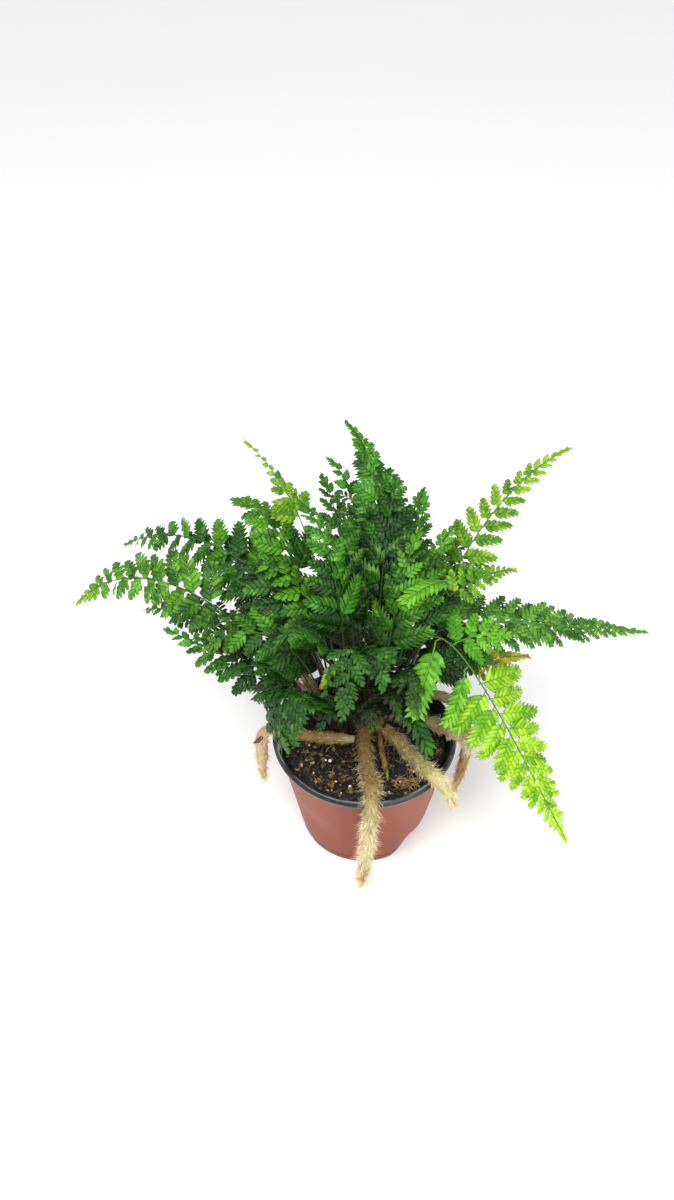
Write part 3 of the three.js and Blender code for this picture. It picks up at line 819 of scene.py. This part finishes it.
# Each kind of blade: its lobes' shape, its leaflets' half breadth against their length and how fast that falls
# towards their tips, how closely the lobes are packed, and their spacing in millimetres along the midrib; how much
# its leaflets curl, turn and tumble, the degrees they stand at from the stem at the blade's base and at its tip, how
# much wider apart they stand at the base, how fast they shorten towards the tip, and how long the lowest pair is.
USUAL = dict(lobe="packed", fall=0.6, packing=1.3, curl=0.16, basal=1)
KINDS = {
    "young": dict(plump=0.26, pitch=3.4, curl=0.1, turn=0.14, tumble=0.1, sweep=(66, 24), opening=1.5, taper=0.72),
    "hanging": dict(plump=0.17, fall=0.3, packing=1.25, pitch=3.8, curl=0, turn=0.1, tumble=0, sweep=(60, 30),
                    opening=1, taper=1),
    "broad": dict(plump=0.3, pitch=3.6, curl=0.12, turn=0.2, tumble=0.1, sweep=(75, 34), opening=1, taper=0.62),
    "swept": dict(plump=0.21, packing=1.2, pitch=3.6, curl=0.1, turn=0.16, tumble=0.12, sweep=(50, 17),
                  opening=1.4, taper=0.74),
    "drawn": dict(plump=0.34, pitch=3.7, turn=0.3, tumble=0.2, sweep=(60, 30), opening=0.8, taper=1.7),
    "lacy": dict(lobe="fan", plump=0.29, packing=1.15, pitch=4.1, turn=0.3, tumble=0.24, sweep=(60, 36),
                 opening=1.3, taper=0.7, basal=0.95),
    "leathery": dict(plump=0.29, fall=0.65, packing=1.2, pitch=3.5, turn=0.26, tumble=0.22, sweep=(56, 24),
                     opening=1.45, taper=0.66, basal=1.15),
    "spear": dict(plump=0.33, pitch=3.3, turn=0.2, tumble=0.16, sweep=(58, 20), opening=1.4, taper=0.86, basal=1.15),
    "fertile": dict(lobe="narrow", plump=0.34, fall=0.7, packing=1.04, pitch=4.4, curl=0.12, turn=0.34, tumble=0.24,
                    sweep=(60, 34), opening=1.3, taper=0.72, basal=1.3),
}
KINDS = {kind: USUAL | own for kind, own in KINDS.items()}
# Each colour: the slot it belongs to; the blade's colours where it is dark, fresh and at its tip; the stem's at its
# foot and top; its roughness; how far painted shade inside the crown darkens it; where along the frond its tip's
# colour begins; and how much the leaflets differ from each other.
BROWN_FOOT = (44, 32, 22)
COLOURS = {
    "dark": dict(slot="frond_dark", blade=((16, 58, 4), (64, 136, 16), (84, 156, 30)),
                 stem=(BROWN_FOOT, (34, 74, 26)), rough=0.3, shaded=1, uneven=0.24),
    "glossy": dict(slot="frond_dark", blade=((10, 44, 2), (34, 94, 4), (60, 128, 16)),
                   stem=(BROWN_FOOT, (34, 84, 22)), rough=0.34, shaded=0.2),
    # deep: the dark colours painted darker, as painted shade for the fronds deep in the crown. shade, below, is deep
    # again in the mid slot.
    "deep": dict(slot="frond_dark", blade=((10, 42, 4), (44, 102, 12), (60, 130, 24)),
                 stem=(BROWN_FOOT, (34, 74, 26)), rough=0.3, shaded=1, uneven=0.24),
    "clear": dict(slot="frond_dark", blade=((28, 82, 14), (88, 148, 40), (110, 166, 48)),
                  stem=(BROWN_FOOT, (70, 120, 50)), rough=0.3, shaded=0),
    "mid": dict(slot="frond_mid", blade=((26, 76, 6), (82, 150, 20), (100, 168, 34)),
                stem=((50, 36, 24), (44, 92, 30)), rough=0.32, shaded=1, uneven=0.24),
    "tipped": dict(slot="frond_mid", blade=((28, 80, 6), (94, 160, 22), (196, 214, 56)),
                   stem=((50, 36, 24), (44, 92, 30)), rough=0.32, shaded=1),
    "lime": dict(slot="frond_lime", blade=((82, 146, 8), (172, 216, 38), (196, 226, 70)),
                 stem=((70, 84, 40), (72, 116, 48)), rough=0.4, shaded=0),
    "green": dict(slot="frond_lime", blade=((60, 130, 14), (112, 180, 36), (132, 192, 48)),
                  stem=((84, 136, 44), (104, 172, 48)), rough=0.4, shaded=0),
    "olive": dict(slot="frond_lime", blade=((60, 118, 8), (136, 178, 30), (180, 206, 50)),
                  stem=((70, 84, 40), (72, 116, 48)), rough=0.4, shaded=0),
    "red": dict(slot="frond_yellow", blade=((60, 124, 20), (146, 176, 48), (176, 44, 14)),
                stem=((66, 46, 30), (110, 130, 40)), rough=0.42, shaded=0, tip_from=0.8),
    "yellow": dict(slot="frond_yellow", blade=((84, 112, 14), (214, 196, 52), (186, 96, 30)),
                   stem=((66, 46, 30), (104, 84, 36)), rough=0.42, shaded=0, tip_from=0.9),
}
COLOURS["shade"] = COLOURS["deep"] | dict(slot="frond_mid")
COLOURS = {colour: dict(tip_from=0.88, uneven=0.14) | own for colour, own in COLOURS.items()}
# Each frond, in millimetres, on the same arch as its solid: where its stem leaves the soil, two handles of its arch,
# its tip, the share of its length that is bare stem, its longest leaflets, its roll in degrees; and its leaflet
# pairs, kind and colour. One with no pairs is a single lobed leaf.
FRONDS = {
    "right_low": ((23, 4), (28, 30, 186), (48, 4, 158), (115, -56, 46), 0.53, 30, 25, 15, "young", "lime"),
    "right_up": ((16, 17), (32, 16, 130), (54, 56, 206), (116, 84, 222), 0.50, 22, 15, 14, "young", "olive"),
    "right_far": ((24, 12), (14, 22, 168), (60, 38, 132), (174, 48, 114), 0.36, 32, 25, 20, "swept", "clear"),
    "right_yellow": ((33, 22), (40, 27, 108), (74, 34, 107), (102, 40, 101), 0.54, 13, 25, 10, "leathery", "yellow"),
    "top": ((2, 20), (10, 26, 146), (18, 70, 217), (-12, 108, 226), 0.44, 33, 0, 15, "spear", "dark"),
    "top_right": ((9, 27), (20, 46, 138), (31, 76, 188), (36, 96, 188), 0.46, 26, 0, 10, "leathery", "dark"),
    "top_left": ((-7, 25), (-5, 36, 140), (6, 79, 196), (-23, 104, 204), 0.50, 22, 0, 9, "fertile", "dark"),
    "back_lime": ((-16, 23), (-20, 46, 172), (-40, 58, 214), (-69, 84, 227), 0.71, 16, 0, 8, "drawn", "olive"),
    "left_up": ((-20, 19), (-30, 34, 166), (-95, 74, 190), (-156, 110, 134), 0.45, 28, -40, 12, "leathery", "mid"),
    "left_mid": ((-25, 12), (-45, 14, 134), (-124, 62, 188), (-184, 78, 110), 0.46, 27, -52, 13, "lacy", "tipped"),
    "left_low": ((-30, 8), (-32, 20, 110), (-95, 43, 149), (-137, 62, 119), 0.44, 23, -20, 9, "fertile", "dark"),
    "left_drop": ((-32, 4), (-25, -1, 109), (-70, 10, 122), (-119, 33, 131), 0.50, 20, -15, 8, "lacy", "dark"),
    "left_face": ((-19, 4), (-28, 4, 150), (-62, 4, 172), (-94, 10, 132), 0.45, 26, -30, 9, "leathery", "mid"),
    "left_inner": ((-14, 13), (-20, 14, 160), (-40, 20, 196), (-66, 38, 172), 0.50, 24, -10, 8, "lacy", "mid"),
    "centre_high": ((-9, 14), (-12, 14, 165), (-20, 22, 218), (-38, 48, 210), 0.48, 26, 0, 9, "leathery", "dark"),
    "centre_right": ((8, 12), (12, 12, 150), (20, 20, 190), (30, 44, 196), 0.45, 24, 0, 9, "leathery", "mid"),
    "front_high": ((-3, 8), (-3, 4, 160), (-8, -26, 188), (-14, -44, 132), 0.50, 24, 0, 9, "leathery", "deep"),
    "front_mid": ((-8, 1), (-10, -2, 140), (-16, -26, 170), (-24, -34, 140), 0.52, 11, 0, 7, "leathery", "shade"),
    "right_front": ((7, 9), (9, 6, 132), (22, -16, 160), (28, -30, 120), 0.50, 20, 0, 8, "leathery", "dark"),
    "front_left": ((-12, 3), (-39, -10, 143), (-50, -26, 148), (-46, -44, 108), 0.54, 31, 23, 7, "broad", "glossy"),
    "front_right": ((10, 4), (14, -2, 110), (23, -16, 124), (33, -30, 92), 0.44, 0, -10, 0, "hanging", "glossy"),
    "left_behind": ((-19, 28), (-27, 38, 150), (-50, 60, 204), (-80, 86, 186), 0.56, 26, -10, 10, "leathery", "mid"),
    "left_middle": ((-22, 2), (-30, 4, 134), (-62, 12, 168), (-100, 26, 138), 0.42, 24, -15, 10, "leathery", "dark"),
    "right_high": ((13, 12), (20, 16, 145), (38, 38, 192), (53, 61, 186), 0.50, 20, 15, 10, "leathery", "mid"),
    "right_middle": ((14, 6), (22, 0, 118), (46, 4, 146), (74, 14, 122), 0.58, 20, 20, 9, "leathery", "dark"),
    "centre_low": ((4, 2), (6, -2, 116), (12, -14, 142), (18, -26, 116), 0.46, 16, 0, 9, "leathery", "deep"),
    "back_left": ((-22, 32), (-34, 56, 130), (-76, 90, 150), (-104, 128, 108), 0.42, 26, 0, 9, "leathery", "dark"),
    "back": ((0, 36), (0, 60, 130), (-4, 104, 150), (-8, 150, 112), 0.42, 26, 0, 9, "lacy", "mid"),
    "back_right": ((22, 30), (38, 54, 128), (58, 88, 140), (84, 122, 112), 0.42, 26, 0, 9, "leathery", "dark"),
}
# The fronds that fill the crown between those, all in deep, a darker green that is painted shade.
INNER = {
    "left_high": ((-17, 8), (-24, 10, 150), (-52, 20, 198), (-88, 42, 166), 0.42, 28, -20, 10, "leathery", "deep"),
    "left_under": ((-24, 4), (-32, -6, 116), (-50, -8, 156), (-80, -8, 132), 0.44, 17, 0, 8, "lacy", "deep"),
    "left_before": ((-10, 0), (-14, -4, 150), (-28, -12, 188), (-50, -16, 162), 0.48, 21, 0, 9, "leathery", "deep"),
    "left_far_behind": ((-16, 20), (-30, 34, 128), (-64, 56, 168), (-110, 88, 160), 0.42, 28, -25, 10,
                        "lacy", "deep"),
    "top_lower": ((4, 16), (6, 24, 150), (12, 46, 206), (18, 82, 206), 0.52, 30, 0, 10, "leathery", "deep"),
    "top_other": ((-4, 14), (-6, 20, 155), (-14, 44, 208), (-26, 80, 208), 0.42, 26, 0, 10, "leathery", "deep"),
    "right_behind": ((14, 20), (24, 30, 128), (44, 56, 168), (66, 90, 158), 0.42, 26, 0, 9, "leathery", "deep"),
    "centre_front": ((0, 4), (2, 0, 150), (4, -16, 184), (8, -30, 140), 0.46, 26, 0, 10, "leathery", "deep"),
    "low_left": ((-8, 5), (-12, -2, 106), (-20, -12, 122), (-27, -22, 100), 0.4, 16, 0, 7, "leathery", "deep"),
    "low_centre": ((0, 5), (0, -2, 106), (3, -10, 122), (3, -20, 98), 0.4, 16, 0, 7, "leathery", "deep"),
    "low_right": ((12, 8), (16, 2, 110), (26, -8, 124), (34, -18, 104), 0.4, 16, 0, 7, "leathery", "deep"),
    "behind_low_left": ((-16, 26), (-26, 38, 112), (-42, 54, 122), (-56, 70, 98), 0.36, 26, 0, 9, "leathery", "deep"),
    "behind_low": ((0, 28), (0, 44, 112), (2, 62, 122), (4, 82, 98), 0.36, 28, 0, 9, "leathery", "deep"),
    "behind_low_right": ((18, 24), (28, 36, 112), (44, 50, 122), (58, 64, 100), 0.36, 26, 0, 9, "leathery", "deep"),
    "centre_behind": ((0, 14), (0, 22, 140), (0, 44, 176), (-2, 80, 168), 0.40, 30, 0, 10, "lacy", "deep"),
}
# The loose leaflets of the two lime fronds, and a red tip. Each starts in the air, where its stalk ends.
PINNAE = {
    "right_front_leaflet": ((37, -2, 152), (36, -10, 150), (30, -18, 140), (25, -26, 113), 0.06, 0, 0, 0,
                            "hanging", "green"),
    "right_side_leaflet": ((54, -6, 134), (54, -12, 130), (50, -17, 118), (45, -22, 106), 0.06, 0, 0, 0,
                           "hanging", "green"),
    "right_crossing_leaflet": ((47, 8, 139), (56, 10, 144), (68, 16, 144), (84, 20, 136), 0.08, 21, 35, 6,
                               "young", "green"),
    "right_upper_leaflet": ((45, 22, 175), (38, 16, 180), (28, 8, 182), (17, 0, 177), 0.06, 0, 0, 0,
                            "hanging", "green"),
    "right_outer_leaflet": ((46, 23, 163), (58, 30, 168), (74, 42, 168), (88, 50, 160), 0.06, 13, 45, 11,
                            "young", "olive"),
    "red_tip": ((-20, -20, 152), (-20, -23, 153), (-22, -27, 149), (-24, -28, 142), 0.05, 0, 0, 0,
                "hanging", "red"),
}
# The small stalks that carry the loose leaflets: from the stem each grew on, by a bend, to where its blade begins.
LEAFLET_STALKS = [
    [(43, 8.3, 143.8), (40.5, 3, 149), (37, -2, 152)],
    [(56.8, -3, 134.2), (55.5, -4.8, 134.6), (54, -6, 134)],
    [(46.8, 5.4, 142.5), (46.8, 6.6, 140.6), (47, 8, 139)],
    [(49.7, 40.5, 163.8), (48.4, 32, 171), (45, 22, 175)],
    [(46.1, 37.3, 156.7), (45, 31, 160.5), (46, 23, 163)],
    [(-16.8, -22.2, 150.7), (-18.6, -21, 151.6), (-20, -20, 152)],
]
ROOT_HEIGHT = SOIL_TOP / MM - 5
STEM_THICK = 0.8 * MM
STEM_THIN = 0.2 * MM
STEM_STEPS = 60
ARCH_STEPS = 240
DROOP = 6.0
LEAF_THICKNESS = 0.055
FIRST_LOBE = 0.09
MOST_LOBES = 9
SMALLEST_LEAFLET = 3.4 * MM
END_LEAFLET = 13 * MM
GAP_FILLED = 0.78
leafing = random.Random(23)


def leafy(name, bm, stalk):
    """A small mesh with the marks that every part of a frond carries: whether it is stalk, and where on a lobe."""
    layer = bm.verts.layers.float.new("stalk")
    bm.verts.layers.float.new("fleck")
    where = bm.loops.layers.uv.new("lobe")
    for vert in bm.verts:
        vert[layer] = stalk
    for face in bm.faces:
        for loop in face.loops:
            loop[where].uv = (loop.vert.co.x, loop.vert.co.y + 0.5)
    return mesh_from(name, bm, True)


def as_stalk(mesh):
    """The same bar with a frond's marks on it."""
    bm = bmesh.new()
    bm.from_mesh(mesh)
    return leafy(mesh.name, bm, 1.0)


def lobe(kind):
    """One lobe at unit size along +X: half its outline beside its midrib, folded up, mirrored and thickened."""
    bm = bmesh.new()
    ridge = [0, 0.16, 0.36, 0.5, 0.58, 0.7, 0.78, 0.88, 0.94]
    middle = [bm.verts.new((along, 0, -0.035)) for along in ridge] + [bm.verts.new((1, 0, -0.05))]
    edge = [bm.verts.new((along, breadth, 0.07 * math.sin(along * 3) - 0.04)) for along, breadth in LOBES[kind]]
    for i in range(len(edge) - 1):
        bm.faces.new((middle[i], middle[i + 1], edge[i + 1], edge[i]))
    bm.faces.new((middle[-2], middle[-1], edge[-1]))
    bmesh.ops.mirror(bm, geom=bm.verts[:] + bm.edges[:] + bm.faces[:], axis="Y", merge_dist=1e-5)
    bmesh.ops.recalc_face_normals(bm, faces=bm.faces)
    bmesh.ops.solidify(bm, geom=bm.faces, thickness=LEAF_THICKNESS)
    bmesh.ops.recalc_face_normals(bm, faces=bm.faces)
    return leafy("lobe_" + kind, bm, 0.0)


def midrib(thick, thin):
    """A slim four-sided stalk, nearly as long as a leaflet of unit length, along +X."""
    bm = bmesh.new()
    lying = Matrix.Translation((0.46, 0, -0.01)) @ Matrix.Rotation(math.radians(90), 4, "Y")
    bmesh.ops.create_cone(bm, cap_ends=True, segments=4, radius1=thick, radius2=thin, depth=1.0, matrix=lying)
    long_edges = [edge for edge in bm.edges if edge.calc_length() > 0.5]
    bmesh.ops.subdivide_edges(bm, edges=long_edges, cuts=5, use_grid_fill=True)
    return leafy("midrib", bm, 0.5)


def leaflet(kind, count, front):
    """One leaflet at unit length along +X: lobes in two rows on a midrib, shorter towards its tip, and one there.
    front is the side that faces the frond's tip, where the first lobe is the longest. A count of 1 is one leaf."""
    look = KINDS[kind]
    blade = lobes[look["lobe"]]
    placings = [(ribs[kind], Matrix.Identity(4))]
    if count == 1:
        placings.append((lobes["simple"], Matrix.Diagonal((1, look["plump"] * 2.1, 1, 1))))
    spacing = 0.84 / (count + 0.4)
    for i in range(count if count > 1 else 0):
        for way in (1, -1):
            along = FIRST_LOBE + spacing * (i + (0 if way == front else 0.45))
            share = (along - FIRST_LOBE) / (1 - FIRST_LOBE)
            angle = math.radians(54 - 20 * share)
            breadth = look["plump"] * (1 - share) ** look["fall"] * min(1, 0.74 + 1.6 * share)
            breadth *= 1.22 if i == 0 and way == front else 1
            size = (breadth + 0.02) / math.sin(angle) * leafing.uniform(0.93, 1.06)
            wide = spacing * math.sin(angle) * look["packing"] * (1 - 0.22 * share) * leafing.uniform(0.94, 1.06)
            place = (Matrix.Translation((along, 0, 0)) @ Matrix.Rotation(way * angle, 4, "Z")
                     @ Matrix.Rotation(way * leafing.gauss(0.08, 0.07), 4, "X")
                     @ Matrix.Rotation(leafing.gauss(0.02, 0.06), 4, "Y") @ Matrix.Diagonal((size, wide, size, 1)))
            placings.append((blade, place))
    if count > 1:
        end = FIRST_LOBE + spacing * (count - 0.3)
        last = Matrix.Translation((end, 0, 0)) @ Matrix.Diagonal((1 - end, spacing * 0.95, 1 - end, 1))
        placings.append((blade, last))
    mesh = gathered("leaflet", placings, fleck=[leafing.random() for _ in placings])
    curl, turn = leafing.gauss(look["curl"], 0.07), leafing.gauss(0, look["turn"])
    for vert in mesh.vertices:
        x, y, z = vert.co
        lean = turn * x
        vert.co = (x * (1 - 0.12 * curl * x), y * math.cos(lean) - z * math.sin(lean),
                   z * math.cos(lean) + y * math.sin(lean) - curl * x * x - 0.5 * y * y)
    return mesh


def frond_finish(name, look):
    """A leaf's green in clouds and flecks, with painted light towards the frond's tip, painted shade deep inside the
    crown and between lobes, and a painted sheen; with its ribs, its tip and its stem.
    """
    (dark, fresh, tip), (foot, top) = look["blade"], look["stem"]
    finish = Finish("frond_" + name)
    tint, along, stalk = finish.mark("tint"), finish.mark("along"), finish.mark("stalk")
    where = finish.add("UVMap", {"uv_map": "lobe"})
    down, off = finish.axis(0, where), (finish.axis(1, where) - 0.5).sum("ABSOLUTE")
    rib = (1 - off * 16).kept()
    veins = ((down - off * 0.8) * 46).sum("SINE")
    clouds, fine = finish.noise(130), finish.noise(900)
    # Painted light and shade: the blade is painted lighter towards the frond's tip and darker towards its base.
    lit = ((along - 0.5) * 1.6).kept() * 0.6 - 0.25
    tone = (tint * 1.3 + finish.mark("fleck") * 0.8 + (clouds - 0.5) * 1.8 + (fine - 0.5) * 0.4 + lit - 0.46).kept()
    across, height = finish.axis(0).sum("ABSOLUTE"), finish.axis(2)
    # Painted shade: low in the crown and near its middle the blade is painted darker, towards a dark olive.
    inside = ((0.155 - height) * 36).kept() * (1.5 - across * 14).kept() * look["shaded"]
    # Painted sheen: pale green patches in clouds, left out where painted shade falls.
    painted_sheen = ((clouds - 0.58) * 8).kept() * 0.32 * (1 - inside)
    at_tip = ((along - look["tip_from"]) * 7).kept() * 0.8
    # Painted shade: darker between neighbouring lobes, towards their bases.
    between = ((off - 0.3) * 7).kept() * (1.2 - down * 1.4).kept() * 0.7
    blade = finish.mix(tone * (1 - inside * 0.8), dark, fresh)
    for share, colour in ((inside * 0.8, (24, 44, 2)), (painted_sheen, (150, 214, 92)), (at_tip, tip), (between, dark),
                          (rib * 0.3 * (1 - stalk), fresh)):
        blade = finish.mix(share, blade, colour)
    stem = finish.mix(((along - 0.25) * 2.6).kept(), foot, top)
    return finish.lay(
        Base_Color=finish.mix(stalk, blade, stem),
        Roughness=(look["rough"] + fine * 0.2 + (clouds - 0.5) * 0.4 - 0.06).kept(),
        Normal=finish.bump(veins * 0.12 * (1 - stalk) - rib * 0.5 + fine * 0.3, 0.6, 0.0003),
        Specular_IOR_Level=0.3,
    )


frond_finishes = {colour: frond_finish(colour, look) for colour, look in COLOURS.items()}
lobes = {kind: lobe(kind) for kind in LOBES}
ribs = {kind: midrib(0.013 if kind == "young" else 0.011, 0.003) for kind in KINDS}
leaflets = {}


def leaflet_like(kind, count, front):
    """One of a few ready leaflets of that kind and size."""
    key = (kind, count, front, leafing.randrange(3))
    if key not in leaflets:
        leaflets[key] = leaflet(kind, count, front)
    return leaflets[key]


def arch_of(*handles):
    """Places along a frond's arch, its direction at each, and how far along the arch each is."""
    turns = np.linspace(0, 1, ARCH_STEPS + 1)[:, None]
    hold = np.array(handles) * MM
    arch = ((1 - turns) ** 3 * hold[0] + 3 * (1 - turns) ** 2 * turns * hold[1]
            + 3 * (1 - turns) * turns ** 2 * hold[2] + turns ** 3 * hold[3])
    ahead = np.gradient(arch, axis=0)
    ahead /= np.linalg.norm(ahead, axis=1)[:, None]
    run = np.concatenate([[0], np.cumsum(np.linalg.norm(np.diff(arch, axis=0), axis=1))])
    return arch, ahead, run


def bend(mesh, arch, ahead, run, bare, roll):
    """Bends a frond that lies flat along +X to its arch. The blade leans by its roll, and its leaflets droop."""
    flat = np.empty(len(mesh.vertices) * 3, np.float32)
    mesh.vertices.foreach_get("co", flat)
    along, across, lift = flat.reshape(-1, 3).T.astype(float)
    length = run[-1]
    at = np.clip(along, 0, length)
    middle, forward = [np.stack([np.interp(at, run, line[:, i]) for i in range(3)], 1) for line in (arch, ahead)]
    forward /= np.linalg.norm(forward, axis=1)[:, None]
    level = np.array([arch[0][1] - arch[-1][1], arch[-1][0] - arch[0][0], 0])
    side = level - forward * (forward @ level)[:, None]
    side /= np.linalg.norm(side, axis=1)[:, None]
    lean = (math.radians(roll) * np.minimum(at / length / bare, 1))[:, None]
    side = side * np.cos(lean) + np.cross(forward, side) * np.sin(lean)
    up = np.cross(forward, side)
    bent = (middle + forward * np.maximum(along - length, 0)[:, None] + side * across[:, None]
            + up * (lift - DROOP * across ** 2)[:, None])
    mesh.vertices.foreach_set("co", bent.astype(np.float32).ravel())
    mark_points(mesh, "along", at / length)
    mesh.update()


def frond(name, root, rise, reach, tip, bare, longest, roll, pairs, kind, colour, *nodes):
    """A frond laid out flat along +X, then bent along its arch. A root with no height of its own is in the soil."""
    look, shades = KINDS[kind], COLOURS[colour]
    from_soil = len(root) == 2
    arch, ahead, run = arch_of((*root, ROOT_HEIGHT) if from_soil else root, rise, reach, tip)
    length = run[-1]
    thick = STEM_THICK if from_soil else STEM_THIN * 2
    upright = Matrix.Rotation(math.radians(90), 4, "Y")
    straight = [Matrix.Translation((length * i / STEM_STEPS, 0, 0)) @ upright for i in range(STEM_STEPS + 1)]
    stem = rod("stem", straight, [thick + (STEM_THIN - thick) * i / STEM_STEPS for i in range(STEM_STEPS + 1)], 6)
    placings, tints = [(as_stalk(stem), Matrix.Identity(4))], [0.5]
    start = bare * length
    for i in range(pairs):
        for way in (1, -1):
            share = 1 - (1 - (i + (0 if way > 0 else 0.5)) / (pairs + 0.6)) ** look["opening"]
            size = longest * MM * (1 - share) ** look["taper"] * (look["basal"] if i == 0 else 1)
            size = max(size * leafing.uniform(0.95, 1.08), SMALLEST_LEAFLET)
            at_base, at_tip = look["sweep"]
            angle = math.radians(at_base + (at_tip - at_base) * share) + leafing.gauss(0, 0.05)
            fits = size / MM / look["pitch"]
            count = min(MOST_LOBES, round(fits)) if fits > 2.4 else 1
            gap = look["opening"] * (1 - share) ** (1 - 1 / look["opening"]) / pairs * (length - start)
            broader = max(1, GAP_FILLED * gap * math.sin(angle) / (2 * look["plump"] * size))
            place = (Matrix.Translation((start + share * (length - start), 0, 0))
                     @ Matrix.Rotation(way * angle, 4, "Z")
                     @ Matrix.Rotation(leafing.gauss(0, look["tumble"]), 4, "X")
                     @ Matrix.Rotation(leafing.gauss(-0.04, 0.07), 4, "Y")
                     @ Matrix.Diagonal((size, size * broader, size, 1)))
            placings.append((leaflet_like(kind, count, -way), place))
            tints.append(min(1, max(0, leafing.gauss(0.47, shades["uneven"]))))
    end = min(END_LEAFLET, longest * MM * 0.5) if pairs else length - start
    count, slim = (4, 0.6) if pairs else (MOST_LOBES, 1)
    place = Matrix.Translation((length - end, 0, 0)) @ Matrix.Diagonal((end, end * slim, end, 1))
    placings.append((leaflet_like(kind, count, 1), place))
    tints.append(0.6)
    mesh = gathered("frond_" + name, placings, tint=tints)
    bend(mesh, arch, ahead, run, bare, roll)
    stands("frond_" + name + "_leafy", mesh, [frond_finishes[colour]], shades["slot"], *nodes)


for name, shape in FRONDS.items():
    frond(name, *shape, "frond_" + name)
for name, shape in (INNER | PINNAE).items():
    frond(name, *shape)
stalks = [(as_stalk(strand("leaflet_stalk", points, 0.4, 0.35)), Matrix.Identity(4)) for points in LEAFLET_STALKS]
stalks_mesh = gathered("leaflet_stalks", stalks, tint=[0.5] * len(stalks))
stands("leaflet_stalks", stalks_mesh, [frond_finishes["green"]], "frond_lime")

# ---------------------------------------------------------------------------
# The studio: a wide white table under plain soft light, and a camera that looks
# down on the plant from the front, held near it.

LENS = 27
SENSOR = 36
CAMERA_PLACE = (-0.0164, -0.363, 0.4817)
CAMERA_TILT = 50.2
ROOM_LIGHT = 0.56

table = bmesh.new()
bmesh.ops.create_grid(table, x_segments=1, y_segments=1, size=40)
white = Finish("white_table")
paper = white.mix(white.noise(3, 2), (251, 251, 252), (254, 254, 254))
table_mesh = mesh_from("white_table", table)
table_mesh.materials.append(white.lay(Base_Color=paper, Roughness=0.9))
white_table = placed("white_table", table_mesh)

sky = bpy.data.worlds.new("soft_room")
sky.use_nodes = True
sky.node_tree.nodes["Background"].inputs["Color"].default_value = (1, 1, 1, 1)
sky.node_tree.nodes["Background"].inputs["Strength"].default_value = ROOM_LIGHT
bpy.context.scene.world = sky


def soft_lamp(name, place, size, power):
    """A square soft lamp that looks at the plant."""
    light = bpy.data.lights.new(name, "AREA")
    light.size = size
    light.energy = power
    lamp = placed(name, light)
    lamp.location = place
    lamp.rotation_euler = (Vector((0, 0, 0.1)) - Vector(place)).to_track_quat("-Z", "Y").to_euler()


soft_lamp("window", (-0.7, -0.6, 1.2), 0.7, 11)
soft_lamp("fill", (0.9, -1.1, 0.9), 1.4, 15)
above = bpy.data.lights.new("ceiling", "SUN")
above.angle = math.radians(50)
above.energy = 1.3
placed("ceiling", above).rotation_euler = (math.radians(33), math.radians(-4), 0)

camera_data = bpy.data.cameras.new("camera")
camera_data.lens = LENS
camera_data.sensor_width = SENSOR
camera = placed("camera", camera_data)
camera.location = CAMERA_PLACE
camera.rotation_euler = (math.radians(CAMERA_TILT), 0, 0)
bpy.context.scene.camera = camera
bpy.context.scene.view_settings.view_transform = "Standard"
